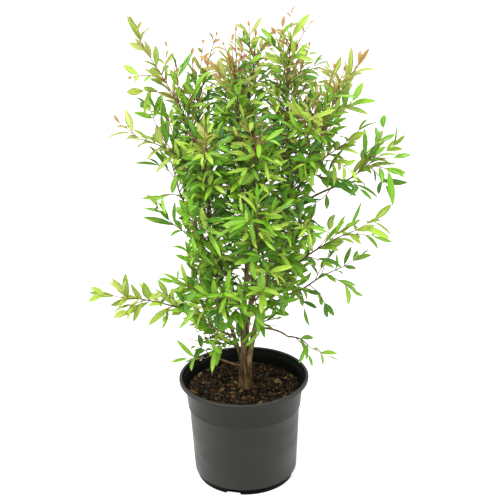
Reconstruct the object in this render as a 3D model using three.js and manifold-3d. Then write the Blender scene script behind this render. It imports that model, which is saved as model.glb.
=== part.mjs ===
// A young pomegranate tree in a nursery pot, as separate solids: the pot, its soil, the trunk, the
// stems and boughs, and one solid for each mass of foliage.
// Millimetres, +Z up. The origin is the centre of the pot's flat underside, and the front is -Y.

import * as THREE from 'three';
import { mergeVertices } from 'three/addons/utils/BufferGeometryUtils.js';
import Module from 'manifold-3d';

const wasm = await Module();
wasm.setup();

// ---- Pot and soil ----------------------------------------------------------------------------

const GAP = 0.3; // left between pieces that touch
const AXIS = 0; // radius of a profile point on the pot's axis

const POT = {
  height: 160,
  lipRadius: 95, // the rolled lip's outer edge
  lipHeight: 6,
  lipInner: 90.4,
  baseRadius: 70, // the flat that it stands on
  footRadius: 74, // the foot's band, a little smaller than the wall above it
  footHeight: 10,
  footStep: 1.5, // height of the step between them
  wallFoot: 76,
  shoulderHeight: 114, // the faint step round the wall
  shoulderRadius: 81.2,
  shoulderStep: 1.7,
  wallTop: 87.4, // outer radius of the wall under the lip
  wall: 1.6,
  floor: 2.4,
  segments: 40,
};
const DRAIN = { count: 4, azimuth: -15, width: 21, height: 6.5, innerRadius: 66, outerRadius: 76 };
const SOIL = { top: 140, edgeDrop: 1.6, flatRadius: 22 };

// ---- Limbs: trunk, stems and boughs ------------------------------------------------------------
// A limb leaves its parent at a share of the parent's length and ends at `to`. `bow` is how far the
// middle of it stands off the straight line: up and over where positive, out and then up where
// negative. `radius` is at its foot and at its tip.

const TRUNK = { foot: [3, 0], top: [5, 0, 198], radius: [9.4, 10.4], flare: 3.2, bow: 1.2 };
const FORK_RADIUS = 5.3; // the three stems on the trunk's top stand this far from its centre

const LIMBS = [
  { name: 'stem_middle', on: 'trunk', fork: 220, to: [12, 6, 450], bow: 3, radius: [4.3, 2.3] },
  { name: 'stem_right', on: 'trunk', fork: -20, to: [68, -5, 440], bow: 2, radius: [4.3, 2.2] },
  { name: 'stem_back', on: 'trunk', fork: 100, to: [18, 52, 400], bow: -4, radius: [4.2, 2.1] },
  { name: 'stem_left', on: 'trunk', at: 0.55, to: [-44, 4, 450], bow: -13, radius: [3.1, 1.9] },
  { name: 'stem_far_left', on: 'stem_left', at: 0.33, to: [-62, 0, 400], bow: -6, radius: [2.3, 1.6] },
  { name: 'stem_back_left', on: 'stem_back', at: 0.2, to: [-38, 56, 360], bow: -7, radius: [2.6, 1.7] },
  { name: 'stem_front', on: 'stem_middle', at: 0.16, to: [20, -46, 326], bow: -5, radius: [2.7, 1.8] },
  { name: 'bough_upper_right', on: 'stem_right', at: 0.84, to: [100, -2, 500], bow: -5, radius: [2, 1.5] },
  { name: 'bough_right_upper', on: 'stem_right', at: 0.76, to: [124, -4, 444], bow: 8, radius: [2.1, 1.5] },
  { name: 'bough_right_middle', on: 'stem_right', at: 0.42, to: [84, -14, 344], bow: -3, radius: [2.1, 1.4] },
  { name: 'bough_right_lower', on: 'stem_right', at: 0.24, to: [84, -8, 296], bow: 4, radius: [2, 1.3] },
  { name: 'bough_low_right', on: 'stem_right', at: 0.15, to: [64, -17, 228], bow: 6, radius: [1.9, 1.3] },
  { name: 'bough_low_left', on: 'stem_left', at: 0.18, to: [-70, -46, 282], bow: -4, radius: [2, 1.4] },
  { name: 'bough_soil_left', on: 'trunk', at: 0.6, to: [-36, -16, 196], bow: -3, radius: [2, 1.4] },
];

// ---- Masses of foliage -------------------------------------------------------------------------
// Each grows on one shoot, which leaves its limb as a limb leaves its parent and points at `to`,
// the furthest leaf's tip. `spread` is how far twigs and leaves reach to the sides of the shoot.

const MASSES = [
  { name: 'foliage_low_front_left', on: 'stem_front', at: 0.3, to: [-58, -104, 338], bow: 6, spread: 80 },
  { name: 'foliage_low_front_right', on: 'stem_front', at: 0.55, to: [62, -104, 336], bow: 6, spread: 80 },
  { name: 'foliage_low_right_front', on: 'stem_right', at: 0.18, to: [66, -56, 262], bow: 4, spread: 60 },
  { name: 'foliage_low_right', on: 'stem_right', at: 0.32, to: [112, 34, 352], bow: 6, spread: 76 },
  { name: 'foliage_low_left', on: 'stem_left', at: 0.25, to: [-112, -30, 348], bow: 8, spread: 76 },
  { name: 'foliage_low_left_front', on: 'stem_left', at: 0.1, to: [-98, -76, 262], bow: 10, spread: 62 },
  { name: 'foliage_low_back_left', on: 'stem_back_left', at: 0.4, to: [-78, 90, 340], bow: 6, spread: 80 },
  { name: 'foliage_low_back_right', on: 'stem_back', at: 0.3, to: [70, 104, 340], bow: 6, spread: 80 },
  { name: 'foliage_left', on: 'stem_far_left', at: 0.6, to: [-126, 0, 436], bow: 5, spread: 72 },
  { name: 'foliage_front_left', on: 'stem_left', at: 0.56, to: [-70, -104, 462], bow: 6, spread: 84 },
  { name: 'foliage_inner_left', on: 'stem_left', at: 0.42, to: [-30, -60, 412], bow: 4, spread: 70 },
  { name: 'foliage_front', on: 'stem_front', at: 1, to: [24, -122, 486], bow: 6, spread: 84 },
  { name: 'foliage_front_right', on: 'stem_right', at: 0.46, to: [110, -92, 456], bow: 4, spread: 84 },
  { name: 'foliage_back_left', on: 'stem_back_left', at: 1, to: [-84, 100, 500], bow: 5, spread: 84 },
  { name: 'foliage_back_right', on: 'stem_back', at: 0.62, to: [112, 84, 450], bow: 6, spread: 84 },
  { name: 'foliage_back', on: 'stem_back', at: 0.76, to: [4, 132, 500], bow: 5, spread: 84 },
  { name: 'foliage_far_left', on: 'stem_far_left', at: 1, to: [-112, 36, 526], bow: -6, spread: 60 },
  { name: 'foliage_left_upper', on: 'stem_left', at: 0.97, to: [-170, -15, 556], bow: 14, spread: 52 },
  { name: 'foliage_upper_left', on: 'stem_left', at: 1, to: [-141, 5, 688], bow: 10, spread: 50 },
  { name: 'foliage_top_left', on: 'stem_left', at: 0.88, to: [-62, 44, 640], bow: -5, spread: 72 },
  { name: 'foliage_upper_front_left', on: 'stem_left', at: 0.66, to: [-42, -90, 572], bow: 5, spread: 84 },
  { name: 'foliage_upper_front', on: 'stem_middle', at: 0.5, to: [26, -100, 588], bow: 5, spread: 80 },
  { name: 'foliage_top_front', on: 'stem_middle', at: 0.86, to: [-6, -28, 669], bow: -5, spread: 76 },
  { name: 'foliage_top_middle', on: 'stem_middle', at: 1, to: [28, 25, 679], bow: 3, spread: 76 },
  { name: 'foliage_top_right', on: 'stem_right', at: 1, to: [72, -15, 699], bow: 5, spread: 70 },
  { name: 'foliage_top_front_right', on: 'stem_right', at: 0.7, to: [106, -66, 606], bow: -5, spread: 76 },
  { name: 'foliage_top_back_right', on: 'stem_back', at: 1, to: [104, 46, 646], bow: -8, spread: 80 },
  { name: 'foliage_upper_back', on: 'stem_back', at: 0.86, to: [-14, 88, 628], bow: 6, spread: 84 },
  { name: 'foliage_upper_right', on: 'bough_upper_right', at: 1, to: [170, 10, 630], bow: 4, spread: 64 },
  { name: 'foliage_shoulder', on: 'bough_upper_right', at: 0.5, to: [172, -30, 544], bow: 5, spread: 64 },
  { name: 'foliage_shoulder_top', on: 'bough_upper_right', at: 0.25, to: [134, -40, 606], bow: -5,
    spread: 66 },
  { name: 'foliage_right_tip', on: 'bough_right_upper', at: 1, to: [225, -10, 515], bow: -4, spread: 72 },
  { name: 'foliage_right_middle', on: 'bough_right_middle', at: 1, to: [198, -42, 420], bow: 3, spread: 56 },
  { name: 'foliage_right_lower', on: 'bough_right_lower', at: 1, to: [188, 0, 353], bow: 2, spread: 56 },
  { name: 'foliage_low_right_tip', on: 'bough_low_right', at: 1, to: [142, -30, 190], bow: 5, spread: 50 },
  { name: 'foliage_low_left_tip', on: 'bough_low_left', at: 1, to: [-196, -125, 350], bow: 4, spread: 62 },
  { name: 'foliage_soil_left', on: 'bough_soil_left', at: 1, to: [-100, -46, 210], bow: 4, spread: 52 },
];

// The growth rule's sizes.
const LEAF = { length: 52, width: 17, keel: 2, widest: 0.4, angle: 44, angleSpread: 14, droop: 0.3 };
const TWIG = { footRadius: 1.7, tipRadius: 1.2, angle: 54, angleSpread: 12, rise: 0.12, least: 11 };
const SHOOT = { footRadius: 2.2, tipRadius: 1.4, nodeSpacing: 13.5, leastNodes: 4, bare: 0.08 };
const TWIG_LEAF = { least: 0.88, spread: 0.24, behindTip: 0.95 }; // sizes of the leaves on twigs
const TWIG_REACH = { least: 0.8, spread: 0.35, shortening: 0.42 }; // the last towards a shoot's tip
const NODE = 3.6; // length of shoot that a pair of buds takes up
const NODE_TURN = 68.75; // degrees from one pair of buds to the next, half the golden angle
const PAIR_BACK = 4; // a twig's last pair of leaves stands this far behind its tip
const PAIR_STEP = 15; // and the pair before it this much further back
const PAIR_TURN = 0.6; // radians from a twig's own bud to its last pair of leaves
const LEAF_SHARE = 0.82; // of a leaf's length, counted in how far its twig reaches
const SHORTER = [1, 0.75, 0.5]; // a twig that has no room is tried again at these shares
const OTHER_WAYS = [0, 55, -55, 110, -110]; // and turned by these angles round its shoot
const CLOSER = [1, 0.7, 0.45]; // a leaf that has no room is tried nearer to its twig's line
const SMALLER = [1, 0.76]; // and then all of that again with a smaller leaf
const FACE_TIPWARD = 0.6; // how far a leaf's face leans from straight up to its shoot's tip
const LEVEL_FLATTENING = 0.6; // on a level shoot, buds above and below it turn this much to the side
const SWAY = 0.02; // how far a limb wanders from its arc, as a share of its length
const SPACE_MARGIN = 1.5; // a mass keeps this far inside its own space
const LIMB_MARGIN = 2.5; // and this far off every limb's surface
const LEAF_MARGIN = 6; // leaves and twigs of one mass keep their outer parts this far apart
const FOLIAGE_FLOOR = POT.height + 3.5; // no leaf hangs lower than this
const SLEEVE_SHARES = [0, 0.15, 0.3, 0.5, 0.75]; // where along a sleeve its section is measured

// ---- Small helpers -----------------------------------------------------------------------------

const UP = new THREE.Vector3(0, 0, 1);
const vec = (values) => new THREE.Vector3(...values);
const radians = THREE.MathUtils.degToRad;
const lerp = THREE.MathUtils.lerp;

// A seeded number from 0 to 1 that depends only on which mass, node and use asks for it.
function dice(mass, node, use) {
  const value = Math.sin(mass * 127.1 + node * 311.7 + use * 74.7) * 43758.5453;
  return value - Math.floor(value);
}

const either = (share) => 2 * share - 1; // dice to the range from -1 to 1

// A closed three.js geometry as a manifold-3d solid.
function toSolid(geometry) {
  const bare = geometry.clone();
  bare.deleteAttribute('normal');
  bare.deleteAttribute('uv');
  const merged = mergeVertices(bare, 1e-5);
  return new wasm.Manifold(new wasm.Mesh({
    numProp: 3,
    vertProperties: new Float32Array(merged.attributes.position.array),
    triVerts: new Uint32Array(merged.index.array),
  }));
}

// A solid back as a geometry.
function toGeometry(solid) {
  const mesh = solid.getMesh();
  const geometry = new THREE.BufferGeometry();
  geometry.setAttribute('position', new THREE.BufferAttribute(mesh.vertProperties, 3));
  geometry.setIndex(new THREE.BufferAttribute(mesh.triVerts, 1));
  geometry.computeVertexNormals();
  return geometry;
}

// The largest body of a solid, without loose scraps, and with its tiniest edges closed up.
function largest(solid) {
  const bodies = solid.simplify(0.02).decompose();
  return bodies.reduce((best, body) => (body.volume() > best.volume() ? body : best));
}

// ---- Curves and tubes --------------------------------------------------------------------------

// The line of a limb: an arc from foot to tip that bows in its own upright plane and sways a little.
class LimbCurve extends THREE.Curve {
  constructor(foot, tip, bow, sway, phase) {
    super();
    this.foot = foot;
    this.run = tip.clone().sub(foot);
    const along = this.run.clone().normalize();
    this.over = UP.clone().addScaledVector(along, -along.z);
    if (this.over.length() < 0.05) this.over.set(-1, 0, 0);
    this.over.normalize();
    this.aside = along.cross(this.over).normalize();
    this.bow = bow;
    this.sway = sway;
    this.phase = phase;
  }

  getPoint(t, target = new THREE.Vector3()) {
    const middle = 4 * t * (1 - t);
    return target.copy(this.foot)
      .addScaledVector(this.run, t)
      .addScaledVector(this.over, this.bow * middle)
      .addScaledVector(this.aside, this.sway * middle * Math.sin(2 * Math.PI * t + this.phase));
  }
}

// A closed round tube along a curve: a cylinder bent to it, its radius a function of the share u.
// Its ends are cut square to the curve, or level where it says so.
function tube(curve, radiusAt, sides, steps, levelEnds = false) {
  const geometry = new THREE.CylinderGeometry(1, 1, 1, sides, steps);
  const frames = curve.computeFrenetFrames(steps, false);
  const position = geometry.attributes.position;
  const point = new THREE.Vector3();
  for (let i = 0; i < position.count; i += 1) {
    point.fromBufferAttribute(position, i);
    const step = Math.round((point.y + 0.5) * steps);
    const radius = radiusAt(step / steps);
    const place = curve.getPointAt(step / steps)
      .addScaledVector(frames.binormals[step], point.x * radius)
      .addScaledVector(frames.normals[step], point.z * radius);
    if (levelEnds && step % steps === 0) place.z = curve.getPointAt(step / steps).z;
    position.setXYZ(i, place.x, place.y, place.z);
  }
  return geometry;
}

const taper = (foot, tip) => (u) => lerp(foot, tip, u);

// ---- Pot and soil ------------------------------------------------------------------------------

function potGeometry() {
  const under = POT.height - POT.lipHeight; // the lip's skirt ends here
  const outer = [
    [AXIS, 0], [POT.baseRadius, 0], [POT.baseRadius + 3, 3], [POT.footRadius, POT.footHeight],
    [POT.wallFoot, POT.footHeight + POT.footStep], [POT.shoulderRadius, POT.shoulderHeight],
    [POT.shoulderRadius + POT.shoulderStep, POT.shoulderHeight + 3],
    [POT.wallTop, under - 2], [POT.lipRadius - 1.2, under], [POT.lipRadius, under + 1.3],
    [POT.lipRadius, POT.height - 1.4], [POT.lipRadius - 1.4, POT.height],
  ];
  const inner = [
    [POT.lipInner + 1, POT.height], [POT.lipInner, POT.height - 1],
    [POT.lipInner - 1.2, under - 0.4], [POT.wallTop - POT.wall, under - 3.6],
    [POT.shoulderRadius + POT.shoulderStep - POT.wall, POT.shoulderHeight + 3],
    [POT.shoulderRadius - POT.wall, POT.shoulderHeight],
    [POT.wallFoot - POT.wall, POT.footHeight + POT.footStep], [POT.footRadius - POT.wall, POT.footHeight],
    [POT.baseRadius - 1, POT.floor], [AXIS, POT.floor],
  ];
  const profile = [...outer, ...inner].map(([r, z]) => new THREE.Vector2(r, z));
  const lathe = new THREE.LatheGeometry(profile, POT.segments).rotateX(Math.PI / 2);
  const drains = Array.from({ length: DRAIN.count }, (_, i) => {
    const azimuth = radians(DRAIN.azimuth + (i * 360) / DRAIN.count);
    return toSolid(drainGeometry().rotateZ(azimuth));
  });
  return toGeometry(largest(toSolid(lathe).subtract(wasm.Manifold.union(drains))));
}

// What a drain hole takes out of the foot: a low arch, pushed through the wall.
function drainGeometry() {
  const half = DRAIN.width / 2;
  const arch = new THREE.Shape([
    new THREE.Vector2(-half, -1), new THREE.Vector2(half, -1),
    new THREE.Vector2(half * 0.8, DRAIN.height * 0.7), new THREE.Vector2(half * 0.45, DRAIN.height),
    new THREE.Vector2(-half * 0.45, DRAIN.height), new THREE.Vector2(-half * 0.8, DRAIN.height * 0.7),
  ]);
  const depth = DRAIN.outerRadius - DRAIN.innerRadius;
  return new THREE.ExtrudeGeometry(arch, { depth, bevelEnabled: false, steps: 1 })
    .rotateX(Math.PI / 2)
    .rotateZ(Math.PI / 2)
    .translate(DRAIN.innerRadius, 0, 0);
}

function soilGeometry() {
  const inside = POT.wall + GAP;
  const edge = SOIL.top - SOIL.edgeDrop;
  const rise = (edge - POT.shoulderHeight - 3) / (POT.height - POT.lipHeight - 5 - POT.shoulderHeight);
  const shoulder = POT.shoulderRadius + POT.shoulderStep;
  const profile = [
    [AXIS, POT.floor + GAP], [POT.baseRadius - 2.2, POT.floor + GAP],
    [POT.footRadius - inside - 0.1, POT.footHeight + 0.3],
    [POT.wallFoot - inside - 0.1, POT.footHeight + POT.footStep + 0.3],
    [POT.shoulderRadius - inside, POT.shoulderHeight],
    [shoulder - inside - 0.1, POT.shoulderHeight + 3],
    [lerp(shoulder, POT.wallTop, rise) - inside - 0.1, edge],
    [SOIL.flatRadius, SOIL.top], [AXIS, SOIL.top],
  ].map(([r, z]) => new THREE.Vector2(r, z));
  return new THREE.LatheGeometry(profile, POT.segments).rotateX(Math.PI / 2);
}

// ---- Limbs -------------------------------------------------------------------------------------

const LINE_POINTS = 12; // a limb's line is measured against in this many steps

function makeLimb(name, foot, tip, bow, radiusAt, sides, steps, seed, levelEnds = false) {
  const sway = foot.distanceTo(tip) * SWAY;
  const curve = new LimbCurve(foot, tip, bow, sway, dice(seed, 0, 9) * 2 * Math.PI);
  const line = curve.getSpacedPoints(LINE_POINTS);
  const radii = line.map((_, i) => radiusAt(i / LINE_POINTS));
  return { name, curve, line, radii, radiusAt, sides, steps, levelEnds };
}

function makeTrunk() {
  const foot = vec([...TRUNK.foot, SOIL.top + GAP]);
  const thickness = taper(...TRUNK.radius);
  const radiusAt = (u) => thickness(u) + TRUNK.flare * Math.exp(-u * 9);
  return makeLimb('trunk', foot, vec(TRUNK.top), TRUNK.bow, radiusAt, 12, 8, 1, true);
}

// Where a limb or shoot starts: on the trunk's top, past its parent's tip, or inside its parent.
function footOf(plan, parent) {
  if (plan.fork !== undefined) {
    const turn = radians(plan.fork);
    const round = new THREE.Vector3(Math.cos(turn), Math.sin(turn), 0);
    return parent.curve.getPointAt(1).addScaledVector(round, FORK_RADIUS).addScaledVector(UP, GAP);
  }
  const foot = parent.curve.getPointAt(plan.at);
  if (plan.at === 1) foot.addScaledVector(parent.curve.getTangentAt(1), GAP);
  return foot;
}

const limbs = new Map();
const trunk = makeTrunk();
limbs.set('trunk', trunk);
LIMBS.forEach((plan, i) => {
  const parent = limbs.get(plan.on);
  const radiusAt = taper(...plan.radius);
  const foot = footOf(plan, parent);
  const limb = makeLimb(plan.name, foot, vec(plan.to), plan.bow, radiusAt, 6, 6, i + 2);
  limbs.set(plan.name, { ...limb, parent });
});

// A limb's solid, and the same a gap thicker and longer, which is cut out of what grows on it.
function limbSolid(limb, extra = 0) {
  const radiusAt = (u) => limb.radiusAt(u) + extra;
  return toSolid(tube(limb.curve, radiusAt, limb.sides, limb.steps, limb.levelEnds));
}

function grownSolid(limb) {
  const grown = limbSolid(limb, GAP / Math.cos(Math.PI / limb.sides));
  const reach = limb.curve.getTangentAt(1).multiplyScalar(GAP);
  const back = limb.curve.getTangentAt(0).multiplyScalar(-GAP);
  return grown.add(grown.translate(reach.toArray())).add(grown.translate(back.toArray()));
}

// ---- The growth rule ---------------------------------------------------------------------------

const spot = new THREE.Vector3();
const span = new THREE.Line3();

// The least of (distance from a point to a line of points) less the line's radius there.
function lineGap(line, point, radii) {
  let least = Infinity;
  for (let i = 0; i + 1 < line.length; i += 1) {
    span.set(line[i], line[i + 1]).closestPointToPoint(point, true, spot);
    least = Math.min(least, spot.distanceTo(point) - (radii ? radii[i] : 0));
  }
  return least;
}

// True where every point is nearer to this mass's shoot than to any other, and off every limb.
function hasRoom(points, mass) {
  return points.every((point) => {
    if (point.z < FOLIAGE_FLOOR) return false;
    const limit = lineGap(mass.line, point) + SPACE_MARGIN;
    if (masses.some((other) => other !== mass && lineGap(other.line, point) < limit)) return false;
    return [...limbs.values()].every((limb) => lineGap(limb.line, point, limb.radii) > LIMB_MARGIN);
  });
}

// A direction to the side of a shoot, at an angle round it, flatter where the shoot is level.
function sideways(along, turn) {
  const over = UP.clone().addScaledVector(along, -along.z);
  if (over.length() < 0.05) over.set(1, 0, 0);
  over.normalize();
  const across = over.clone().cross(along);
  const flatten = 1 - LEVEL_FLATTENING * (1 - Math.abs(along.z));
  return across.multiplyScalar(Math.cos(turn))
    .addScaledVector(over, Math.sin(turn) * flatten)
    .normalize();
}

const leaning = (along, aside, angle) => along.clone().multiplyScalar(Math.cos(angle))
  .addScaledVector(aside, Math.sin(angle)).normalize();

// The frame of a leaf: its line, and its face turned up and towards its shoot's tip.
function leafFrame(root, direction, along, size) {
  const face = along.clone().multiplyScalar(FACE_TIPWARD).add(UP);
  face.addScaledVector(direction, -face.dot(direction)).normalize();
  return { root, direction, face, across: face.clone().cross(direction), size };
}

// Points all over a leaf's blade, from its root on, to measure its room with.
function leafPoints(leaf) {
  const points = [];
  for (let step = 1; step <= 8; step += 1) {
    const u = step / 8;
    const half = (LEAF.width / 2) * leaf.size * Math.min(u / LEAF.widest, (1 - u) / (1 - LEAF.widest));
    [-1, 0, 1].forEach((side) => points.push(leaf.root.clone()
      .addScaledVector(leaf.direction, LEAF.length * leaf.size * u)
      .addScaledVector(leaf.across, side * half)));
  }
  return points;
}

const OUTER = 6; // leafPoints from here on are the blade's outer part
const clear = (points, taken) => points
  .every((point) => taken.every((other) => point.distanceTo(other) > LEAF_MARGIN));

// Tries a leaf at its own angle and then nearer to its twig's line, and returns the first with room.
function fitLeaf(mass, root, along, aside, angle, droop, size) {
  const tries = SMALLER.flatMap((smaller) => CLOSER.map((share) => {
    const direction = leaning(along, aside, angle * share);
    direction.addScaledVector(UP, -droop * share).normalize();
    return leafFrame(root, direction, along, size * smaller);
  }));
  const leaf = tries.find((each) => {
    const points = leafPoints(each);
    return hasRoom(points, mass) && clear(points.slice(OUTER), mass.taken);
  });
  if (leaf) mass.taken.push(...leafPoints(leaf).slice(OUTER));
  return leaf;
}

// The leaf of one bud, at its own angle and droop, or nothing where it has no room.
function budLeaf(mass, curve, u, turn, key, size) {
  const along = curve.getTangentAt(u);
  const angle = radians(LEAF.angle + LEAF.angleSpread * either(dice(mass.seed, key, 3)));
  const droop = LEAF.droop * dice(mass.seed, key, 4);
  const leaf = fitLeaf(mass, curve.getPointAt(u), along, sideways(along, turn), angle, droop, size);
  return leaf ? [{ u, leaf }] : [];
}

function leafPair(mass, curve, u, turn, key, size) {
  return [
    ...budLeaf(mass, curve, u, turn, key + 0.25, size),
    ...budLeaf(mass, curve, u, turn + Math.PI, key + 0.5, size),
  ];
}

// A twig from one bud, as long as its reach allows, that ends in a leaf with pairs behind it.
function budTwig(mass, u, turn, key) {
  const foot = mass.curve.getPointAt(u);
  const along = mass.curve.getTangentAt(u);
  const angle = radians(TWIG.angle + TWIG.angleSpread * either(dice(mass.seed, key, 1)));
  const direction = leaning(along, sideways(along, turn), angle);
  const size = TWIG_LEAF.least + TWIG_LEAF.spread * dice(mass.seed, key, 6);
  const reach = mass.spread * (1 - TWIG_REACH.shortening * u)
    * (TWIG_REACH.least + TWIG_REACH.spread * dice(mass.seed, key, 2));
  const woody = Math.max(TWIG.least, reach - LEAF_SHARE * LEAF.length * size);
  for (const share of SHORTER) {
    const length = Math.max(TWIG.least, woody * share);
    const tip = foot.clone().addScaledVector(direction, length)
      .addScaledVector(UP, TWIG.rise * length);
    const curve = new LimbCurve(foot, tip, 0, 0, 0);
    const points = curve.getSpacedPoints(4).slice(2);
    if (hasRoom(points, mass) && clear(points, mass.taken)) {
      const aside = sideways(curve.getTangentAt(1), turn);
      const terminal = fitLeaf(mass, tip, curve.getTangentAt(1), aside, 0, 0, size);
      if (terminal) {
        mass.taken.push(...points);
        const buds = [];
        const smaller = size * TWIG_LEAF.behindTip;
        for (let back = PAIR_BACK; back < length - NODE; back += PAIR_STEP) {
          const way = turn + PAIR_TURN + back;
          buds.push(...leafPair(mass, curve, 1 - back / length, way, key + back, smaller));
        }
        return [{ u, twig: { curve, radiusAt: twigRadius, buds, terminal } }];
      }
    }
  }
  return [];
}

const firstOf = (tries, make) => tries.reduce((made, each) => (made.length ? made : make(each)), []);

// Along the shoot, from a leaf and a pair at its tip down to its foot, pairs of buds: from each bud
// a twig, the first of a few ways round that has room, or else a leaf.
function growMass(mass) {
  const length = mass.curve.getLength();
  const nodes = Math.max(SHOOT.leastNodes, Math.round(length / SHOOT.nodeSpacing));
  mass.terminal = leafFrame(mass.curve.getPointAt(1), mass.curve.getTangentAt(1), UP, 1);
  mass.taken.push(...leafPoints(mass.terminal).slice(OUTER));
  mass.buds.push(...leafPair(mass, mass.curve, 1 - PAIR_BACK / length, mass.turn, nodes, 1));
  for (let node = nodes - 1; node > 0; node -= 1) {
    const u = lerp(SHOOT.bare, 1, node / nodes);
    const turn = mass.turn + radians(NODE_TURN * node);
    [0, 1].forEach((side) => {
      const key = node + side / 2;
      const twig = firstOf(OTHER_WAYS, (way) => budTwig(mass, u, turn + side * Math.PI + radians(way), key));
      mass.buds.push(...(twig.length ? twig : budLeaf(mass, mass.curve, u, turn + side * Math.PI, key, 1)));
    });
  }
}

// The shoot of a mass stops short of `to` by its last leaf, which reaches on to it.
function makeMass(plan, index) {
  const parent = limbs.get(plan.on);
  const foot = footOf(plan, parent);
  const whole = vec(plan.to).sub(foot);
  const tip = vec(plan.to).addScaledVector(whole.normalize(), -LEAF.length);
  const seed = index + 20;
  const radiusAt = taper(SHOOT.footRadius, SHOOT.tipRadius);
  const limb = makeLimb(plan.name, foot, tip, plan.bow, radiusAt, 3, 5, seed);
  const turn = dice(seed, 0, 8) * 2 * Math.PI;
  return { ...limb, parent, seed, turn, spread: plan.spread, buds: [], taken: [] };
}

const twigRadius = taper(TWIG.footRadius, TWIG.tipRadius);
const masses = MASSES.map(makeMass);
masses.forEach(growMass);

// ---- Solids of the masses ----------------------------------------------------------------------

// The area of a triangle seen along a direction, negative from behind.
const areaAlong = ([a, b, c], direction) => b.clone().sub(a).cross(c.clone().sub(a)).dot(direction) / 2;

const centreOf = (corners) => corners
  .reduce((sum, corner) => sum.add(corner), new THREE.Vector3()).divideScalar(corners.length);

// How open the sleeve between two triangles is: the least area of a section of it. Where that is
// negative, the sleeve would cross itself.
function openness(base, section) {
  const direction = centreOf(section).sub(centreOf(base)).normalize();
  const between = (share) => base.map((corner, i) => corner.clone().lerp(section[i], share));
  return Math.min(...SLEEVE_SHARES.map((share) => areaAlong(between(share), direction)));
}

const EDGES = [[0, 1], [1, 2], [2, 0]]; // of a triangle, as pairs of its corners

const stretch = new THREE.Ray();
const meeting = new THREE.Vector3();

// True where the straight line between two points passes through a triangle.
function pierces(from, to, [a, b, c]) {
  stretch.origin.copy(from);
  stretch.direction.copy(to).sub(from).normalize();
  return stretch.intersectTriangle(a, b, c, false, meeting) !== null
    && meeting.distanceTo(from) < from.distanceTo(to);
}

// True where an edge of one face passes through another face that it has no corner of.
function crosses(face, other) {
  return face.box.intersectsBox(other.box) && EDGES.some(([i, j]) => !other.ids.includes(face.ids[i])
    && !other.ids.includes(face.ids[j]) && pierces(face.points[i], face.points[j], other.points));
}

// A closed form of corners and triangles. Any of its faces can grow into a three-sided branch, so
// that twigs and leaves are one body with what they stand on.
class Form {
  constructor(section) {
    this.corners = [...section];
    this.faces = [[0, 2, 1], [0, 1, 2]];
    this.owners = [null, null];
  }

  add(corners, owner) {
    this.owners.push(owner);
    return this.faces.push(corners) - 1;
  }

  // Grows an owner's branch out of the most open of a few faces, through sections of three corners,
  // to a point. Returns the faces of the sleeve between each section and the one before.
  grow(faces, sections, point, owner) {
    const ways = faces.filter((face) => this.faces[face])
      .map((face) => ({ face, ...this.turned(this.faces[face], sections[0]) }));
    const { face } = ways.reduce((best, way) => (way.open > best.open ? way : best));
    let base = this.faces[face];
    this.faces[face] = null;
    const sleeves = sections.map((section) => {
      const next = this.turned(base, section).section.map((corner) => this.corners.push(corner) - 1);
      const sleeve = EDGES.flatMap(([i, j]) => this.side(base[i], base[j], next[j], next[i]))
        .map((corners) => this.add(corners, owner));
      base = next;
      return sleeve;
    });
    const end = this.corners.push(point) - 1;
    EDGES.forEach(([i, j]) => this.add([base[i], base[j], end], owner));
    return sleeves;
  }

  // One side of a sleeve as two triangles, along the diagonal that makes it bulge.
  side(a, b, c, d) {
    const [first, second, third, fourth] = [a, b, c, d].map((corner) => this.corners[corner]);
    const plane = new THREE.Plane().setFromCoplanarPoints(first, second, third);
    return plane.distanceToPoint(fourth) < 0 ? [[a, b, c], [a, c, d]] : [[a, b, d], [b, c, d]];
  }

  // The section with its corners counted from the one that leaves the sleeve most open.
  turned(base, section) {
    const start = base.map((corner) => this.corners[corner]);
    return [0, 1, 2].map((by) => {
      const corners = [0, 1, 2].map((i) => section[(i + by) % 3]);
      return { section: corners, open: openness(start, corners) };
    }).reduce((best, way) => (way.open > best.open ? way : best));
  }

  // The owners of every two faces that cross.
  crossings() {
    const faces = this.faces.map((ids, i) => ({ ids, owner: this.owners[i] })).filter(({ ids }) => ids);
    faces.forEach((face) => {
      face.points = face.ids.map((corner) => this.corners[corner]);
      face.box = new THREE.Box3().setFromPoints(face.points);
    });
    return faces.flatMap((face) => faces.filter((other) => crosses(face, other))
      .flatMap((other) => [face.owner, other.owner]));
  }

  geometry() {
    const geometry = new THREE.BufferGeometry().setFromPoints(this.corners);
    geometry.setIndex(this.faces.filter((face) => face).flat());
    return geometry;
  }
}

// The three corners of a leaf where it is widest: its two edges and its keel.
function bladeSection(leaf) {
  const centre = leaf.root.clone().addScaledVector(leaf.direction, LEAF.length * leaf.size * LEAF.widest);
  const half = (LEAF.width / 2) * leaf.size;
  return [
    centre.clone().addScaledVector(leaf.across, half),
    centre.clone().addScaledVector(leaf.across, -half),
    centre.clone().addScaledVector(leaf.face, -LEAF.keel),
  ];
}

const bladeTip = (leaf) => leaf.root.clone().addScaledVector(leaf.direction, LEAF.length * leaf.size);

// The three corners of a shoot's section, turned as those of its last leaf.
function shootSection(shoot, u) {
  const { across, face } = shoot.terminal;
  return [30, 150, 270].map((turn) => shoot.curve.getPointAt(u)
    .addScaledVector(across, shoot.radiusAt(u) * Math.cos(radians(turn)))
    .addScaledVector(face, shoot.radiusAt(u) * Math.sin(radians(turn))));
}

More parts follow.
